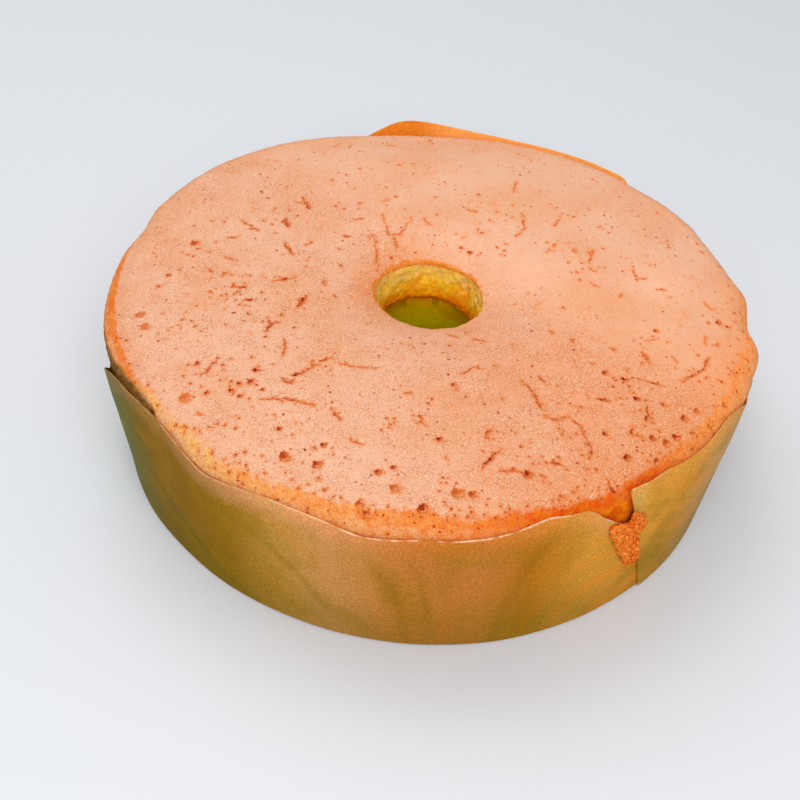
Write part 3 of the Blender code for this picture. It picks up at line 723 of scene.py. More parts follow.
def shape_ring(piece):
    """Swells the rim, waves the skin and roughens the throat, and masks the hole."""
    points = points_of(piece)
    radius, azimuth = polar(points)
    in_throat = (points[:, 2] > TUBE_TOP_HEIGHT) & (radius <= MOUTH_RADIUS + WELD)
    mask_hole(piece, points, in_throat)
    radius = radius + push_out(points, in_throat)
    height = points[:, 2] + skin_rise(points) - ledge_sag(points, in_throat)
    put_points(piece, place(radius, azimuth, height))


def strewn_spot(draw, outermost):
    """A chance spot on the skin, out to this radius."""
    radius = outermost * math.sqrt(draw.uniform(HOLE_SHARE, 1))
    turn = draw.uniform(0, 2 * math.pi)
    return radius * math.cos(turn), radius * math.sin(turn)


def short_cracks(draw):
    """Small bent cracks strewn over the skin, in the form of CRACKS."""
    found = []
    for _ in range(SHORT_CRACKS):
        middle = Vector(strewn_spot(draw, CRACKS_OUT_TO))
        heading = draw.uniform(0, math.pi)
        bend = Vector((draw.uniform(*SHORT_BEND), draw.uniform(*SHORT_BEND)))
        run = Vector((math.cos(heading), math.sin(heading))) * draw.uniform(*SHORT_HALF_LENGTH)
        values = [draw.uniform(*span) for span in (SHORT_DEPTH, SHORT_HALF_WIDTH, SHORT_SCORCH)]
        found.append((*values, [middle - run, middle + bend, middle + run]))
    return found


def spurs(draw):
    """Short side branches of the longer cracks, in the form of CRACKS."""
    found = []
    for *values, corners in CRACKS:
        for start, end in zip(corners, corners[1:]):
            start, run = Vector(start), Vector(end) - Vector(start)
            if run.length < SPUR_SPACING or draw.random() > SPUR_CHANCE:
                continue
            root = start + run * draw.uniform(*SPUR_ROOT)
            aside = Vector((-run.y, run.x)).normalized() * draw.choice((-1, 1))
            way = aside + run.normalized() * draw.uniform(-1, 1)
            tip = root + way * draw.uniform(*SPUR_LENGTH)
            weaker = [share * value for share, value in zip(SPUR_SHARES, values)]
            found.append((*weaker, [root, tip]))
    return found


def crack_spot(spot, share, depth, half_width, scorch):
    """One spot of a crack's mark, this share of the way along it.

    A crack wanders from side to side as it runs, and thins and fades by turns."""
    bend = (spot.x / CRACK_WANDER_LENGTH, spot.y / CRACK_WANDER_LENGTH, depth)
    wander = noise.noise_vector(bend) * CRACK_WANDER
    fade = 1 - CRACK_TAPER * abs(2 * share - 1) ** 3
    by_turns = CRACK_UNEVENNESS * noise.noise((spot.x, spot.y, CRACK_UNEVENNESS_LAYER))
    thin = max(CRACK_THINNEST, fade + by_turns)
    x, y = (spot.x + wander.x) * MM, (spot.y + wander.y) * MM
    return x, y, half_width * thin * MM, depth * thin * CRACK_DEPTH, scorch * thin


def crack_marks(draw):
    """Every crack as a mark: a bent line of (x, y, radius, depth, scorch) spots, in metres."""
    marks = []
    for *values, corners in CRACKS + spurs(draw) + short_cracks(draw):
        corners = [Vector(corner) for corner in corners]
        legs = list(zip(corners, corners[1:]))
        steps = [max(1, round((end - start).length * MM / CRACK_STEP)) for start, end in legs]
        walked, spots = 0, []
        for (start, end), count in zip(legs, steps):
            for step in range(count):
                share = (walked + step) / sum(steps)
                spots.append(crack_spot(start.lerp(end, step / count), share, *values))
            walked += count
        marks.append(spots)
    return marks


def bubble_marks(draw):
    """The burst bubbles as marks, each of a single spot."""
    found = list(BUBBLES)
    for x, y, spread, count in BUBBLE_CLUSTERS:
        spread = CLUSTER_TIGHTNESS * spread
        for _ in range(count):
            spot = (draw.gauss(x, spread), draw.gauss(y, spread))
            found.append((*spot, draw.uniform(*SMALL_BUBBLE), draw.uniform(*CLUSTER_SCORCH)))
    for _ in range(STREWN_BUBBLES):
        spot = strewn_spot(draw, BUBBLES_OUT_TO)
        found.append((*spot, draw.uniform(*SMALL_BUBBLE), draw.uniform(*STREWN_SCORCH)))
    for _ in range(RIM_BUBBLES):
        radius = draw.uniform(*RIM_BUBBLE_RADII)
        turn = math.radians(draw.triangular(*RIM_BUBBLE_AZIMUTHS))
        spot = (radius * math.sin(turn), -radius * math.cos(turn))
        found.append((*spot, draw.uniform(*RIM_BUBBLE), draw.uniform(*RIM_SCORCH)))
    return [
        [(x * MM, y * MM, size * MM, min(size * BUBBLE_DEPTH, DEEPEST_BUBBLE) * MM, scorch)]
        for x, y, size, scorch in found
        if BUBBLES_FROM < math.hypot(x, y) < BUBBLES_TO
    ]


def flat_tree(places):
    """A search tree of the places on the skin as seen from above, with the rest out of reach."""
    return tree_of([(x, y, 0 if z > SKIN_LOWEST else -1) for x, y, z in places])


def split_skin(piece, marks):
    """Splits the rim's faces once, then those beside cracks and bubbles until they are fine."""
    middles, _ = faces_of(piece)
    radius, _ = polar(middles)
    split_faces(piece, (radius > RIM_SPLIT_RADIUS) & (middles[:, 2] > RIM_SPLIT_HEIGHT))
    for reach, largest_face, smallest_mark in SPLIT_ROUNDS:
        middles, areas = faces_of(piece)
        flat = flat_tree(middles)
        wanted = np.zeros(len(areas), bool)
        served = [spots for spots in marks if max(spot[2] for spot in spots) > smallest_mark]
        for x, y, size, _, _ in sum(served, []):
            for _, index, _ in flat.find_range((x, y, 0), size + reach):
                wanted[index] = areas[index] > largest_face
        split_faces(piece, wanted)


def nearest_marks(piece, marks):
    """The number of the mark that each face lies nearest to, or -1."""
    middles, _ = faces_of(piece)
    flat = flat_tree(middles)
    nearest, gap = np.full(len(middles), -1), np.full(len(middles), MARK_REACH)
    for number, spots in enumerate(marks):
        for x, y, size, _, _ in spots:
            for _, index, distance in flat.find_range((x, y, 0), size + MARK_REACH):
                if distance - size < gap[index]:
                    nearest[index], gap[index] = number, distance - size
    return nearest


def from_mark(places, spots):
    """The way to each place from the nearest point of a mark, and the mark's values there.

    The spots are (x, y, z, radius, depth, scorch), joined by straight lines."""
    starts, ends = (spots[:-1], spots[1:]) if len(spots) > 1 else (spots, spots)
    run = (ends - starts)[:, :3]
    ahead = ((places[:, None] - starts[:, :3]) * run).sum(2) / np.maximum((run**2).sum(1), WELD**2)
    spot = starts + (ends - starts) * np.clip(ahead, 0, 1)[..., None]
    way = places[:, None] - spot[..., :3]
    best = np.arange(len(places)), (way**2).sum(2).argmin(1)
    return way[best], spot[best][:, 3:]


def sink_marks(piece, marks):
    """Presses the marks in, and tells each face's corners their way from its nearest mark.

    The way is in shares of the mark's radius, so the material can draw the mark's edge."""
    points, mesh = points_of(piece), piece.data
    corners, counts = np.empty(len(mesh.loops), int), np.empty(len(mesh.polygons), int)
    mesh.loops.foreach_get("vertex_index", corners)
    mesh.polygons.foreach_get("loop_total", counts)
    number_there = np.repeat(nearest_marks(piece, marks), counts)
    order = np.argsort(number_there, kind="stable")
    edges = np.searchsorted(number_there[order], np.arange(len(marks) + 1))
    ways, values = np.full((len(corners), 3), NO_MARK), np.ones((len(corners), 3))
    sunk, flat = np.zeros(len(points)), flat_tree(points)
    for spots, first, last in zip(marks, edges, edges[1:]):
        chosen = order[first:last]
        if len(chosen) == 0:
            continue
        spots = [(x, y, points[flat.find((x, y, 0))[1]][2], *rest) for x, y, *rest in spots]
        way, here = from_mark(points[corners[chosen]], np.array(spots))
        ways[chosen] = way / here[:, :1]
        values[chosen] = here
        bowl = here[:, 1] * np.exp(-(((way**2).sum(1) / here[:, 0] ** 2) ** BOWL_POWER))
        np.maximum.at(sunk, corners[chosen], bowl / DEEPEST)
    weigh(piece, "sunk", sunk)
    press(piece, "sunk", -DEEPEST)
    write_at_corners(mesh, "from_mark", "FLOAT_VECTOR", "vector", ways)
    for name, column in zip(("mark_radius", "mark_depth", "scorch"), (values / (MM, MM, 1)).T):
        write_at_corners(mesh, name, "FLOAT", "value", column)


def brown_rim(piece):
    """Masks the browned band at the rim, how deep and worn it is, and the glow inside it."""
    points = points_of(piece)
    radius, azimuth = polar(points)
    stray = BROWNED_STRAY * noise_at(points, BROWNED_STRAY_LENGTH)
    within = radius - round_the_ring(BROWNED, azimuth) * MM - stray
    band = ease(within / BROWNED_FADE + 0.5) * round_the_ring(BROWNED, azimuth, 2)
    groove = groove_fade(azimuth) * ease((radius - GROOVE_MARK_START) / GROOVE_MARK_FADE)
    write_mask(piece, "browned", np.maximum(band, groove))
    write_mask(piece, "deep_rim", round_the_ring(DEEP_RIM, azimuth))
    crumb = ease(within / CRUMB_FADE + 0.5)
    write_mask(piece, "crumb", crumb * round_the_ring(CRUMB_RIM, azimuth))
    rubbed = ease((round_the_ring(RUBBED_BELOW, azimuth) * MM - points[:, 2]) / RUBBED_FADE)
    rubbed *= RUBBED_STRENGTH + RUBBED_UNEVENNESS * noise_at(points, RUBBED_LENGTH)
    write_mask(piece, "rubbed", np.clip(rubbed, 0, 1) * round_the_ring(RUBBED_RIM, azimuth))
    glow = ease(within / (round_the_ring(GLOW, azimuth, 2) * MM) + 1)
    glow *= round_the_ring(GLOW, azimuth)
    near_hole = ease((HOLE_GLOW_RADIUS - radius) / (HOLE_GLOW_RADIUS - MOUTH_RADIUS))
    near_hole *= round_the_ring(HOLE_GLOW, azimuth)
    write_mask(piece, "glow", np.maximum(glow, near_hole))


def mask_side_and_skin(piece):
    """Masks the bare side, its painted shade, and the skin's grain and warm and pale patches."""
    points = points_of(piece)
    radius, azimuth = polar(points)
    stray = SIDE_STRAY * noise_at(points, SIDE_STRAY_LENGTH)
    side = ease((round_the_ring(SIDE_TOP, azimuth) * MM + stray - points[:, 2]) / SIDE_FADE)
    write_mask(piece, "side", side * (radius > HOLE_OR_SIDE))
    write_mask(piece, "shaded_side", round_the_ring(SHADED_SIDE, azimuth))
    write_mask(piece, "grain", 1 - GRAIN_LOSS * ease(points[:, :2] @ BACK_RIGHT / GRAIN_LOSS_WIDTH))
    for name, spots in (("warm", WARM_PATCHES), ("pale", PALE_PATCHES)):
        away = [
            np.hypot(points[:, 0] - x * MM, points[:, 1] - y * MM) / (reach * MM)
            for x, y, reach in spots
        ]
        write_mask(piece, name, np.exp(-(np.min(away, axis=0) ** 2)))


def roughen_cake(piece):
    """Fine lumps in the skin and the rim, and coarse crumb in the throat."""
    points = points_of(piece)
    radius, _ = polar(points)
    height = points[:, 2]
    skin = np.where(radius > MOUTH_RADIUS, ease((height - RIM_HEIGHT) / SHOULDER_HEIGHT), 0)
    weigh(piece, "skin", skin)
    rising = ease((height - RIM_LUMPS_HEIGHT) / RIM_LUMPS_RISE)
    weigh(piece, "rim", rising * ease((radius - RIM_LUMPS_RADIUS) / RIM_LUMPS_FADE))
    in_throat = radius < MOUTH_RADIUS + THROAT_LUMPS_OUT
    in_throat &= height > LEDGE_HEIGHT - THROAT_LUMPS_DOWN
    below_mouth = ease((MOUTH_HEIGHT - height) / MOUTH_EASING)
    strength = THROAT_LUMPS_AT_MOUTH + (1 - THROAT_LUMPS_AT_MOUTH) * below_mouth
    weigh(piece, "throat", np.where(in_throat, strength, 0))
    for part, depth, size in CAKE_LUMPS:
        press(piece, part, depth, lumps(part + "_lumps", size))


def make_cake():
    # Without a seed of its own, noise_vector() gives other values at each run.
    noise.seed_set(SEED)
    draw = random.Random(SEED)
    marks = crack_marks(draw) + bubble_marks(draw)
    cake = draw_outline("ring_of_cake", cake_outline())
    turn_outline(TURNED_STEPS)
    shape_ring(cake)
    split_skin(cake, marks)
    brown_rim(cake)
    mask_side_and_skin(cake)
    roughen_cake(cake)
    sink_marks(cake, marks)
    smooth(cake)
    cake.data.materials.append(baked_cake())
    return cake


# ---------------------------------------------------------------- the paper collar


def paper_radius(turn, height):
    """The collar's inner radius, at an azimuth that runs on past 360 to its inner end."""
    lap = LAP_LIFT * (1 - ease((turn - OUTER_END_BOTTOM) / LAP_RELEASE))
    standoff = along(PAPER_STANDOFF, turn) * MM * ease(height / RIM_HEIGHT)
    waving = place(np.full_like(turn, PAPER_WAVES_ROUND), turn, height / PAPER_WAVE_HEIGHT)
    wave = PAPER_WAVE * (1 + noise_at(waving, 1))
    return side_radius(turn, height) + PAPER_CLEARANCE + lap + standoff + wave


def paper_start(height):
    """Azimuth of the outer end, which is cut at a slant."""
    share = np.minimum(height / SEAM_TOP_HEIGHT, 1)
    return OUTER_END_BOTTOM + (OUTER_END_TOP - OUTER_END_BOTTOM) * share


def cake_edge(turn, height):
    """The radius of the cake's own surface at a height, also above the rim."""
    rise = np.clip((height - RIM_HEIGHT) / SHOULDER_HEIGHT, 0, LEAN_LIMIT)
    return side_radius(turn, height) - SHOULDER_WIDTH * (1 - np.sqrt(1 - rise**2))


def paper_top(turn):
    """The height of the paper's top edge."""
    places, heights = np.array(PAPER_TOP).T
    eased = [np.interp(turn + shift, places, heights) for shift in EDGE_EASING]
    return np.mean(eased, axis=0) * MM


def make_collar():
    """A flat grid bent round the cake, leaning in at its top edge, and thickened outwards."""
    collar = draw_grid("greaseproof_collar", PAPER_COLUMNS, PAPER_ROWS)
    bpy.ops.object.mode_set(mode="OBJECT")
    points = points_of(collar)
    round_share, up_share = 0.5 * (points[:, 0] + 1), 0.5 * (points[:, 1] + 1)
    full_turn = INNER_END - OUTER_END_TOP
    top = paper_top(OUTER_END_TOP + full_turn * round_share)
    height = PAPER_BOTTOM + (top - PAPER_BOTTOM) * up_share
    start = paper_start(height)
    turn = start + (INNER_END - start) * round_share
    radius = paper_radius(turn, height)
    lean = along(PAPER_LEAN, turn) * ease((height - LEAN_HEIGHT) / (RIM_HEIGHT - LEAN_HEIGHT))
    radius = radius - lean * np.maximum(radius - cake_edge(turn, height) - LEAN_CLEARANCE, 0)
    put_points(collar, place(radius, turn, height))
    write_mask(collar, "below_top", (top - height) / MM)
    write_mask(collar, "round", (turn - OUTER_END_TOP) / full_turn)
    write_mask(collar, "worn_glinting_edge", along(WORN_GLINTING_EDGE, turn))
    write_mask(collar, "edge_glow", along(EDGE_GLOW, turn))
    thickness = collar.modifiers.new("thickness", "SOLIDIFY")
    thickness.thickness = PAPER_THICKNESS
    thickness.offset = 1
    bpy.ops.object.modifier_apply(modifier=thickness.name)
    write_mask(collar, "inside", np.arange(len(collar.data.vertices)) >= len(points))
    smooth(collar)
    collar.data.materials.append(greaseproof_paper())
    return collar


# ---------------------------------------------------------------- the drip


def outside_collar(turn, height):
    """The radius just clear of the paper's outer face, stepping out over the outer end."""
    inner = paper_radius(turn + 360, height)
    outer = paper_radius(turn, height)
    over = ease((turn - paper_start(height) + DRIP_STEP_BEFORE) / DRIP_STEP_WIDTH)
    return inner + (outer - inner) * over + PAPER_THICKNESS + DRIP_CLEARANCE


def make_drip():
    """A crumbly tongue on the paper: a grid laid on the collar, then thickened outwards."""
    drip = draw_grid("baked_on_drip", DRIP_COLUMNS, DRIP_LINES)
    bpy.ops.mesh.select_all(action="SELECT")
    bpy.ops.mesh.extrude_region_move(TRANSFORM_OT_translate={"value": (0, 0, 1)})
    bpy.ops.mesh.select_all(action="SELECT")
    bpy.ops.mesh.normals_make_consistent(inside=False)
    bpy.ops.object.mode_set(mode="OBJECT")
    points = points_of(drip)
    across, up, front = points.T
    lowest, highest = DRIP_ROWS[0][0], DRIP_ROWS[-1][0]
    level = lowest + (highest - lowest) * 0.5 * (up + 1)
    west, east = along(DRIP_ROWS, level), along(DRIP_ROWS, level, 2)
    turn = 0.5 * (west + east) + 0.5 * (east - west) * across
    height = (level - DRIP_FALL * (turn - DRIP_MIDDLE)) * MM
    radius = outside_collar(turn, height)
    bulge = (1 - across**DRIP_SIDE_POWER) * (1 - up**DRIP_END_POWER)
    crumb = noise_at(place(radius, turn, height), DRIP_CRUMB_LENGTH) * DRIP_CRUMB
    thickness = DRIP_EDGE + (DRIP_THICKNESS - DRIP_EDGE + crumb) * bulge
    put_points(drip, place(radius + np.where(front > 0.5, thickness, 0), turn, height))
    weigh(drip, "crumb", np.where(front > 0.5, bulge, 0))
    press(drip, "crumb", DRIP_LUMPS, lumps("drip_lumps", DRIP_LUMP_SIZE))
    smooth(drip)
    drip.data.materials.append(leaked_crust())
    return drip


# ---------------------------------------------------------------- finishes


def start_material(name, roughness, specular):
    """A Principled material, as its node tree and its shader."""
    material = bpy.data.materials.new(name)
    material.use_nodes = True
    shader = material.node_tree.nodes["Principled BSDF"]
    shader.inputs["Roughness"].default_value = roughness
    shader.inputs["Specular IOR Level"].default_value = specular
    return material, material.node_tree, shader


def join(tree, socket, value):
    """Links a node's output to a socket, or sets the socket to a plain value."""
    if isinstance(value, bpy.types.NodeSocket):
        tree.links.new(value, socket)
    else:
        socket.default_value = value


def object_place(tree):
    """The place on the piece, in metres, as every pattern reads it."""
    return tree.nodes.new("ShaderNodeTexCoord").outputs["Object"]


def mask(tree, name):
    """A value that was kept on the piece under this name."""
    node = tree.nodes.new("ShaderNodeAttribute")
    node.attribute_name = name
    return node.outputs["Fac"]


def worked_out(tree, operation, first, second):
    node = tree.nodes.new("ShaderNodeMath")
    node.operation = operation
    join(tree, node.inputs[0], first)
    join(tree, node.inputs[1], second)
    return node.outputs[0]


def plus(tree, first, second):
    return worked_out(tree, "ADD", first, second)


def minus(tree, first, second):
    return worked_out(tree, "SUBTRACT", first, second)


def times(tree, *values):
    """All the values multiplied together."""
    product = values[0]
    for value in values[1:]:
        product = worked_out(tree, "MULTIPLY", product, value)
    return product


def mix(tree, share, first, second):
    """The first colour, going over to the second as the share goes from 0 to 1."""
    node = tree.nodes.new("ShaderNodeMix")
    node.data_type = "RGBA"
    join(tree, node.inputs[0], share)
    join(tree, node.inputs[6], first)
    join(tree, node.inputs[7], second)
    return node.outputs[2]


def toned(tree, share, tint, factors):
    """The tint, with its channels multiplied by these factors as far as the share says."""
    node = tree.nodes.new("ShaderNodeMix")
    node.data_type = "RGBA"
    node.blend_type = "MULTIPLY"
    join(tree, node.inputs[0], share)
    join(tree, node.inputs[6], tint)
    join(tree, node.inputs[7], (*factors, 1))
    return node.outputs[2]


def step_up(tree, value, low, high, top=1):
    """0 below the low value, the top above the high one, and a smooth step between."""
    node = tree.nodes.new("ShaderNodeMapRange")
    node.interpolation_type = "SMOOTHSTEP"
    join(tree, node.inputs["Value"], value)
    node.inputs["From Min"].default_value = low
    node.inputs["From Max"].default_value = high
    node.inputs["To Max"].default_value = top
    return node.outputs["Result"]


def blotches(tree, where, size, detail=2, roughness=0.5):
    """Noise around 0.5 with blotches of this size."""
    node = tree.nodes.new("ShaderNodeTexNoise")
    join(tree, node.inputs["Vector"], where)
    node.inputs["Scale"].default_value = 1 / size
    node.inputs["Detail"].default_value = detail
    node.inputs["Roughness"].default_value = roughness
    return node.outputs["Fac"]


def uneven(tree, where, size, detail=2, roughness=0.5):
    """As blotches(), but around 0."""
    return minus(tree, blotches(tree, where, size, detail, roughness), 0.5)


def patches(tree, where, size, low, high, top=1, detail=2, roughness=0.5):
    """Blotches with an edge: 0 below the low value, the top above the high one."""
    return step_up(tree, blotches(tree, where, size, detail, roughness), low, high, top)


def ramp(tree, value, stops):
    """A run of colours: [(where, colour), ...], the wheres from 0 to 1."""
    node = tree.nodes.new("ShaderNodeValToRGB")
    join(tree, node.inputs[0], value)
    elements = node.color_ramp.elements
    for spot, tint in stops[1:-1]:
        elements.new(spot).color = tint
    elements[0].position, elements[0].color = stops[0]
    elements[-1].position, elements[-1].color = stops[-1]
    return node.outputs["Color"]


def bump(tree, shader, height, depth):
    """Fine relief, this deep where the height is 1."""
    node = tree.nodes.new("ShaderNodeBump")
    node.inputs["Strength"].default_value = 1
    node.inputs["Distance"].default_value = depth
    join(tree, node.inputs["Height"], height)
    tree.links.new(node.outputs["Normal"], shader.inputs["Normal"])


def height_of(tree, where):
    split = tree.nodes.new("ShaderNodeSeparateXYZ")
    tree.links.new(where, split.inputs[0])
    return split.outputs[2]


def specks(tree, where, size, rarity):
    """1 inside small ragged specks, of which there are fewer as the rarity rises."""
    return patches(tree, where, size, rarity, rarity + 0.04, 1, 3, 0.75)


def dots(tree, where, spacing, largest, share):
    """1 inside small dots of uneven size, one at most in each cell of this spacing."""
    astray = tree.nodes.new("ShaderNodeTexNoise")
    join(tree, astray.inputs["Vector"], where)
    astray.inputs["Scale"].default_value = 1.5 / spacing
    bent = tree.nodes.new("ShaderNodeVectorMath")
    bent.operation = "MULTIPLY_ADD"
    join(tree, bent.inputs[0], astray.outputs["Color"])
    bent.inputs[1].default_value = (0.5 * spacing,) * 3
    join(tree, bent.inputs[2], where)
    cells = tree.nodes.new("ShaderNodeTexVoronoi")
    join(tree, cells.inputs["Vector"], bent.outputs[0])
    cells.inputs["Scale"].default_value = 1 / spacing
    chance = tree.nodes.new("ShaderNodeSeparateColor")
    join(tree, chance.inputs[0], cells.outputs["Color"])
    reach = times(tree, step_up(tree, chance.outputs[0], 1 - share, 1), largest / spacing)
    gap = minus(tree, reach, cells.outputs["Distance"])
    return step_up(tree, gap, -0.02, 0.05)


def skin_colour(tree, where):
    """Pale peach skin, pinker and oranger by turns, with a fine grain and small specks."""
    rough = mask(tree, "grain")
    pale = mix(tree, rough, colour(221, 173, 143), colour(243, 184, 150))
    deep = mix(tree, rough, colour(219, 163, 128), colour(240, 170, 129))
    tint = mix(tree, patches(tree, where, 22 * MM, 0.35, 0.65), pale, deep)
    tint = mix(tree, step_up(tree, mask(tree, "glow"), 0, 1, 0.8), tint, colour(232, 143, 81))
    tint = mix(tree, times(tree, mask(tree, "warm"), 0.6), tint, colour(239, 149, 95))
    tint = mix(tree, times(tree, mask(tree, "pale"), 0.5), tint, colour(246, 194, 161))
    here_and_there = patches(tree, where, 14 * MM, 0.42, 0.62, 1, 3)
    smears = times(tree, specks(tree, where, 2.6 * MM, 0.58), here_and_there, 0.5)
    tint = mix(tree, smears, tint, colour(232, 128, 56))
    strewn = plus(tree, patches(tree, where, 6 * MM, 0.35, 0.65, 0.7, 3), 0.3)
    pores = times(tree, patches(tree, where, 0.5 * MM, 0.48, 0.64, 1, 3, 0.8), rough, strewn)
    tint = mix(tree, pores, tint, colour(206, 110, 52))
    crumbs = times(tree, patches(tree, where, 0.42 * MM, 0.5, 0.3), rough, 0.75)
    tint = mix(tree, crumbs, tint, colour(247, 215, 186))
    often = plus(tree, times(tree, here_and_there, 0.6), 0.4)
    small_dots = times(tree, dots(tree, where, 1.9 * MM, 0.5 * MM, 0.5), often)
    tint = mix(tree, small_dots, tint, colour(194, 81, 33))
    large_dots = times(tree, dots(tree, where, 4.2 * MM, 0.55 * MM, 0.5), 0.9)
    return mix(tree, large_dots, tint, colour(174, 43, 21))


def browned_colour(tree, where):
    """The rim's saturated orange, porous and mottled, and pale where it is rubbed to crumb."""
    light, deep = colour(249, 167, 92), colour(240, 124, 38)
    tint = mix(tree, patches(tree, where, 2.8 * MM, 0.3, 0.7, 1, 4, 0.7), light, deep)
    fiery = mix(tree, specks(tree, where, 3.5 * MM, 0.5), colour(230, 84, 0), colour(236, 114, 14))
    tint = mix(tree, mask(tree, "deep_rim"), tint, fiery)
    worn = patches(tree, where, 2.2 * MM, 0.38, 0.6, 1, 3, 0.7)
    tint = mix(tree, times(tree, mask(tree, "rubbed"), worn), tint, colour(246, 181, 126))
    pale, golden = colour(251, 203, 126), colour(246, 164, 79)
    crumb = mix(tree, specks(tree, where, 1.2 * MM, 0.5), pale, golden)
    tint = mix(tree, mask(tree, "crumb"), tint, crumb)
    grain = patches(tree, where, 0.6 * MM, 0.5, 0.68, 0.7, 2, 0.7)
    grains = mix(tree, mask(tree, "deep_rim"), colour(251, 192, 122), colour(242, 128, 28))
    tint = mix(tree, grain, tint, grains)
    pores = patches(tree, where, 0.5 * MM, 0.5, 0.68, 0.8, 3, 0.7)
    tint = mix(tree, pores, tint, colour(221, 98, 24))
    return mix(tree, dots(tree, where, 1.7 * MM, 0.42 * MM, 0.7), tint, colour(193, 61, 14))


def outside_mark(tree, aside, grown=1):
    """How far the edge of the nearest mark is, in millimetres, and less than 0 inside it.

    The mark can be moved aside and grown, in shares of its radius."""
    way = tree.nodes.new("ShaderNodeAttribute")
    way.attribute_name = "from_mark"
    astray = tree.nodes.new("ShaderNodeTexNoise")
    join(tree, astray.inputs["Vector"], object_place(tree))
    astray.inputs["Scale"].default_value = 1 / (1.3 * MM)
    astray.inputs["Detail"].default_value = 3
    shifted = tree.nodes.new("ShaderNodeVectorMath")
    shifted.operation = "MULTIPLY_ADD"
    join(tree, shifted.inputs[0], astray.outputs["Color"])
    shifted.inputs[1].default_value = (RAGGEDNESS,) * 3
    bent = tree.nodes.new("ShaderNodeVectorMath")
    bent.operation = "SUBTRACT"
    join(tree, bent.inputs[0], way.outputs["Vector"])
    bent.inputs[1].default_value = [0.5 * RAGGEDNESS + share for share in aside]
    join(tree, shifted.inputs[2], bent.outputs[0])
    length = tree.nodes.new("ShaderNodeVectorMath")
    length.operation = "LENGTH"
    join(tree, length.inputs[0], shifted.outputs[0])
    return times(tree, minus(tree, length.outputs["Value"], grown), mask(tree, "mark_radius"))


def marked(tree, tint, edge, stray):
    """The tint with the marks on it: an orange bloom, a redder floor and a scorched end.

    The floor is lighter on its lower right, a painted highlight, and the scorched end is
    pushed to the upper left as painted shade.
    """
    scorch = mask(tree, "scorch")
    bloom = plus(tree, outside_mark(tree, (0.2, -0.2, 0)), times(tree, stray, 3))
    tint = mix(tree, step_up(tree, bloom, 0.8, 0.1, 0.6), tint, colour(232, 127, 54))
    floor = mix(tree, scorch, colour(234, 129, 60), colour(210, 85, 31))
    # Painted highlight: the floor is lighter on its lower right.
    lit = plus(tree, outside_mark(tree, LIT_SIDE, 0.8), times(tree, stray, 1.5))
    floor = mix(tree, step_up(tree, lit, 0.15, -0.4, 0.8), floor, colour(237, 151, 93))
    mottled = patches(tree, object_place(tree), 0.9 * MM, 0.45, 0.62, 0.6, 3, 0.7)
    floor = mix(tree, mottled, floor, colour(205, 81, 33))
    tint = mix(tree, step_up(tree, edge, 0.14, -0.1, 0.95), tint, floor)
    # Painted shade: the scorched end sits at the upper left of each mark.
    shaded_core = plus(tree, outside_mark(tree, SHADED_SCORCH_SIDE, 0.55), times(tree, stray, 0.7))
    scorched_and_shaded = times(tree, step_up(tree, shaded_core, 0.08, -0.16), scorch)
    return mix(tree, scorched_and_shaded, tint, colour(145, 35, 14))


def hole_colour(tree, where, height):
    """Down the hole: yellow crumb with green flecks, a dark ledge, and pandan green below it."""
    jitter = times(tree, uneven(tree, where, 3 * MM, 4, 0.7), 0.2)
    tint = ramp(tree, plus(tree, times(tree, height, 1 / (60 * MM)), jitter), [
        (0.0, colour(200, 200, 0)), (0.50, colour(206, 190, 0)), (0.60, colour(206, 168, 0)),
        (0.655, colour(244, 160, 20)), (0.69, colour(250, 124, 0)), (0.72, colour(255, 168, 14)),
        (0.78, colour(255, 196, 34)), (0.83, colour(255, 204, 80)), (0.90, colour(255, 200, 96)),
        (0.93, colour(252, 156, 60)),
    ])  # fmt: skip
    above, below = step_up(tree, height, 40 * MM, 46 * MM), step_up(tree, height, 42 * MM, 38 * MM)
    amber = times(tree, patches(tree, where, 7 * MM, 0.5, 0.7, 0.6), above)
    tint = mix(tree, amber, tint, colour(255, 156, 20))
    dim = times(tree, patches(tree, where, 9 * MM, 0.45, 0.6), below, 0.7)
    tint = mix(tree, dim, tint, colour(196, 150, 0))
    near_mouth = step_up(tree, height, 44 * MM, 50 * MM)
    flakes = times(tree, specks(tree, where, 3 * MM, 0.54), near_mouth, 0.6)
    tint = mix(tree, flakes, tint, colour(255, 220, 134))
    flecks = times(tree, specks(tree, where, 1.6 * MM, 0.62), 0.75)
    return mix(tree, flecks, tint, colour(150, 134, 0))


def side_colour(tree, where):
    """The side under the rim: golden-brown, and dark olive-brown painted shade at the left."""
    golden, brown = colour(246, 136, 6), colour(220, 82, 0)
    tint = mix(tree, patches(tree, where, 4 * MM, 0.35, 0.65), golden, brown)
    # Painted shade: the darker olive-brown that the side takes at the left.
    light, deep = colour(152, 112, 54), colour(116, 82, 34)
    shaded = mix(tree, patches(tree, where, 5 * MM, 0.35, 0.65, 1, 4, 0.7), light, deep)
    dark_specks = times(tree, specks(tree, where, 1.8 * MM, 0.57), 0.8)
    shaded = mix(tree, dark_specks, shaded, colour(84, 56, 22))
    light_specks = times(tree, specks(tree, where, 1.5 * MM, 0.56), 0.7)
    shaded = mix(tree, light_specks, shaded, colour(184, 134, 70))
    return mix(tree, mask(tree, "shaded_side"), tint, shaded)


def cake_relief(tree, where, edge):
    """The relief of the marks' floors, the skin's grain and the crumbly side."""
    pit = times(tree, step_up(tree, edge, 0.1, -0.3), mask(tree, "mark_depth"), -0.3)
    strength = plus(tree, mask(tree, "grain"), 0.2)
    grain = times(tree, blotches(tree, where, 0.5 * MM, 4, 0.8), strength, 0.38)
    crumbly = times(tree, blotches(tree, where, 2.6 * MM, 4, 0.7), mask(tree, "side"), 0.8)
    return plus(tree, plus(tree, pit, grain), crumbly)


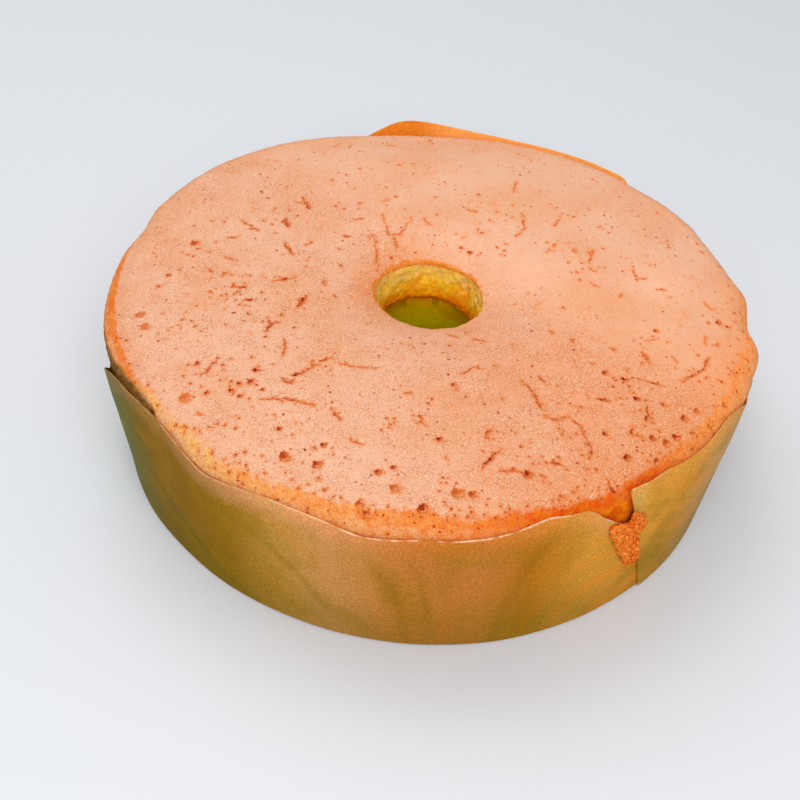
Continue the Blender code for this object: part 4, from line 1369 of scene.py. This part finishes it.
def baked_cake():
    material, tree, shader = start_material("baked_cake", 0.78, 0.05)
    where = object_place(tree)
    lumpy = uneven(tree, where, 3.4 * MM, 4, 0.7)
    browned = plus(tree, mask(tree, "browned"), times(tree, lumpy, 2.4))
    browned = step_up(tree, browned, 0.1, 0.9)
    tint = mix(tree, browned, skin_colour(tree, where), browned_colour(tree, where))
    stray = times(tree, uneven(tree, where, 1.2 * MM, 4, 0.8), 2.1)
    edge = plus(tree, outside_mark(tree, (0, 0, 0)), stray)
    tint = marked(tree, tint, edge, stray)
    tint = mix(tree, mask(tree, "side"), tint, side_colour(tree, where))
    tint = mix(tree, mask(tree, "in_hole"), tint, hole_colour(tree, where, height_of(tree, where)))
    ragged = times(tree, uneven(tree, where, 1.8 * MM, 4, 0.75), 2.2)
    lip = step_up(tree, plus(tree, mask(tree, "lip"), ragged), 0.3, 1.0, 0.9)
    crust = mix(tree, step_up(tree, lumpy, -0.1, 0.15), colour(240, 140, 50), colour(228, 112, 22))
    tree.links.new(mix(tree, lip, tint, crust), shader.inputs["Base Color"])
    bump(tree, shader, cake_relief(tree, where, edge), 1 * MM)
    return material


def streaks(tree, turn_share, below):
    """Noise in long slanting streaks, which fan out over the front of the paper."""
    slant = tree.nodes.new("ShaderNodeMapRange")
    join(tree, slant.inputs["Value"], turn_share)
    for name, value in zip(("From Min", "From Max", "To Min", "To Max"), SLANT_SHARES + SLANTS):
        slant.inputs[name].default_value = value
    aside = times(tree, slant.outputs[0], below)
    spot = tree.nodes.new("ShaderNodeCombineXYZ")
    join(tree, spot.inputs[0], plus(tree, times(tree, turn_share, PAPER_LENGTH / MM), aside))
    join(tree, spot.inputs[1], times(tree, below, STREAK_STRETCH))
    return blotches(tree, spot.outputs[0], STREAK_WIDTH / MM, 2)


def paper_outside(tree, where, turn_share, below):
    """Oil-soaked tan paper, with stains, folds and a lighter margin.

    At the left it is dark olive-green: painted shade with a painted green reflection.
    """
    # Dark olive-green from about 0.55 to 0.8 round, at the left: painted shade and reflection.
    tint = ramp(tree, turn_share, [
        (0.0, colour(221, 172, 94)), (0.006, colour(218, 167, 82)), (0.013, colour(217, 151, 50)),
        (0.04, colour(204, 141, 43)), (0.065, colour(196, 147, 86)), (0.10, colour(186, 143, 94)),
        (0.16, colour(196, 141, 69)), (0.28, colour(202, 131, 51)), (0.41, colour(206, 122, 39)),
        (0.55, colour(176, 120, 39)), (0.64, colour(122, 114, 54)), (0.68, colour(112, 110, 54)),
        (0.705, colour(105, 108, 48)), (0.735, colour(126, 92, 0)), (0.78, colour(141, 102, 0)),
        (0.805, colour(180, 134, 54)), (0.83, colour(197, 139, 79)), (0.86, colour(186, 116, 49)),
        (0.895, colour(184, 114, 45)), (0.915, colour(172, 108, 12)), (0.94, colour(206, 143, 50)),
        (1.0, colour(202, 135, 29)),
    ])  # fmt: skip
    stains = patches(tree, where, 16 * MM, 0.45, 0.7, 0.5)
    tint = mix(tree, stains, tint, colour(155, 112, 4))
    # Darker and greener towards the bottom: partly where it lies on the cake, partly painted shade.
    tint = mix(tree, step_up(tree, below, 18, 50, 0.45), tint, colour(110, 96, 6))
    folds = streaks(tree, turn_share, below)
    tint = toned(tree, step_up(tree, folds, 0.5, 0.75, 0.8), tint, (0.80, 0.84, 0.5))
    tint = toned(tree, step_up(tree, folds, 0.5, 0.28, 0.9), tint, (1.16, 0.94, 0.7))
    margin = plus(tree, below, times(tree, uneven(tree, where, 10 * MM), 8))
    # Its margin is dark olive at the left as well, as painted shade.
    at_margin = ramp(tree, turn_share, [
        (0.0, colour(216, 147, 70)), (0.04, colour(214, 146, 60)), (0.10, colour(216, 147, 84)),
        (0.28, colour(222, 150, 80)), (0.45, colour(222, 136, 56)), (0.66, colour(122, 110, 69)),
        (0.74, colour(167, 118, 69)), (0.80, colour(235, 161, 114)), (0.84, colour(231, 147, 96)),
        (0.865, colour(208, 114, 43)), (0.90, colour(202, 114, 41)), (0.94, colour(221, 147, 82)),
    ])  # fmt: skip
    tint = mix(tree, step_up(tree, margin, 9, 0, 0.6), tint, at_margin)
    # The pale top edge: wear, with a painted highlight along it.
    worn = patches(tree, where, 5 * MM, 0.4, 0.6, 1, 3)
    edge = times(tree, step_up(tree, below, 0.5, 0.05, 0.8), worn, mask(tree, "worn_glinting_edge"))
    return mix(tree, edge, tint, colour(247, 202, 161))


def greaseproof_paper():
    material, tree, shader = start_material("greaseproof_paper", 0.55, 0.03)
    where = object_place(tree)
    turn_share, below = mask(tree, "round"), mask(tree, "below_top")
    within = ramp(tree, turn_share, [
        (0.0, colour(240, 160, 70)), (0.27, colour(253, 184, 102)), (0.38, colour(253, 180, 96)),
        (0.40, colour(234, 140, 42)), (1.0, colour(238, 144, 46)),
    ])  # fmt: skip
    within_edge = step_up(tree, plus(tree, below, mask(tree, "edge_glow")), 0.1, 0.9)
    inside = times(tree, step_up(tree, mask(tree, "inside"), 0.2, 0.7), within_edge)
    tint = mix(tree, inside, paper_outside(tree, where, turn_share, below), within)
    fibres = patches(tree, where, 0.5 * MM, 0.46, 0.64, 1, 2, 0.7)
    tint = toned(tree, fibres, tint, (1.32, 1.32, 1.38))
    pinholes = patches(tree, where, 0.42 * MM, 0.48, 0.66, 1, 2, 0.7)
    tint = toned(tree, pinholes, tint, (0.7, 0.7, 0.54))
    tree.links.new(tint, shader.inputs["Base Color"])
    bump(tree, shader, blotches(tree, where, 2.2 * MM, 5, 0.7), 0.25 * MM)
    return material


def leaked_crust():
    material, tree, shader = start_material("leaked_crust", 0.8, 0.05)
    where = object_place(tree)
    light, deep = colour(246, 158, 66), colour(228, 98, 18)
    tint = mix(tree, patches(tree, where, 1 * MM, 0.38, 0.58, 1, 4, 0.8), light, deep)
    tint = mix(tree, specks(tree, where, 0.9 * MM, 0.58), tint, colour(153, 40, 4))
    tree.links.new(tint, shader.inputs["Base Color"])
    bump(tree, shader, blotches(tree, where, 0.6 * MM, 3, 0.7), 0.4 * MM)
    return material


# ---------------------------------------------------------------- the stage


def add_camera():
    lens = bpy.data.cameras.new("camera")
    lens.lens = CAMERA_LENS
    lens.sensor_width = CAMERA_SENSOR
    camera = bpy.data.objects.new("camera", lens)
    bpy.context.scene.collection.objects.link(camera)
    tilt = Matrix.Rotation(0.5 * math.pi - CAMERA_DOWN, 4, "X")
    aim = Matrix.Rotation(CAMERA_LEFT, 4, "Z") @ tilt @ Matrix.Rotation(CAMERA_ROLL, 4, "Z")
    camera.matrix_world = Matrix.Translation(CAMERA_PLACE) @ aim
    bpy.context.scene.camera = camera


def add_light(name, spot, size, power, tint):
    """A square soft light at a spot, facing the cake."""
    light = bpy.data.lights.new(name, "AREA")
    light.size = size
    light.energy = power
    light.color = tint
    lamp = bpy.data.objects.new(name, light)
    bpy.context.scene.collection.objects.link(lamp)
    towards = Vector((0, 0, RIM_HEIGHT)) - Vector(spot)
    aim = towards.to_track_quat("-Z", "Y").to_matrix().to_4x4()
    lamp.matrix_world = Matrix.Translation(spot) @ aim


def add_surroundings():
    world = bpy.data.worlds.new("studio")
    world.use_nodes = True
    backdrop = world.node_tree.nodes["Background"]
    backdrop.inputs["Color"].default_value = (1, 1, 1, 1)
    backdrop.inputs["Strength"].default_value = BACKDROP_LIGHT
    bpy.context.scene.world = world
    bpy.context.scene.view_settings.view_transform = "Standard"
    bpy.context.scene.view_settings.look = "None"


def add_floor():
    bpy.ops.object.select_all(action="DESELECT")
    bpy.ops.mesh.primitive_plane_add(size=FLOOR_WIDTH)
    floor = bpy.context.object
    floor.name = "floor"
    material, _, shader = start_material("pale_floor", 0.6, 0.3)
    shader.inputs["Base Color"].default_value = colour(212, 216, 222)
    floor.data.materials.append(material)


add_camera()
add_surroundings()
add_floor()
for light in LIGHTS:
    add_light(*light)

for piece, node, slot in (
    (make_cake(), "cake", "baked_cake"),
    (make_collar(), "paper_collar", "greaseproof_paper"),
    (make_drip(), "crust_drip", "leaked_crust"),
):
    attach(piece, "root")
    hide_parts(node)
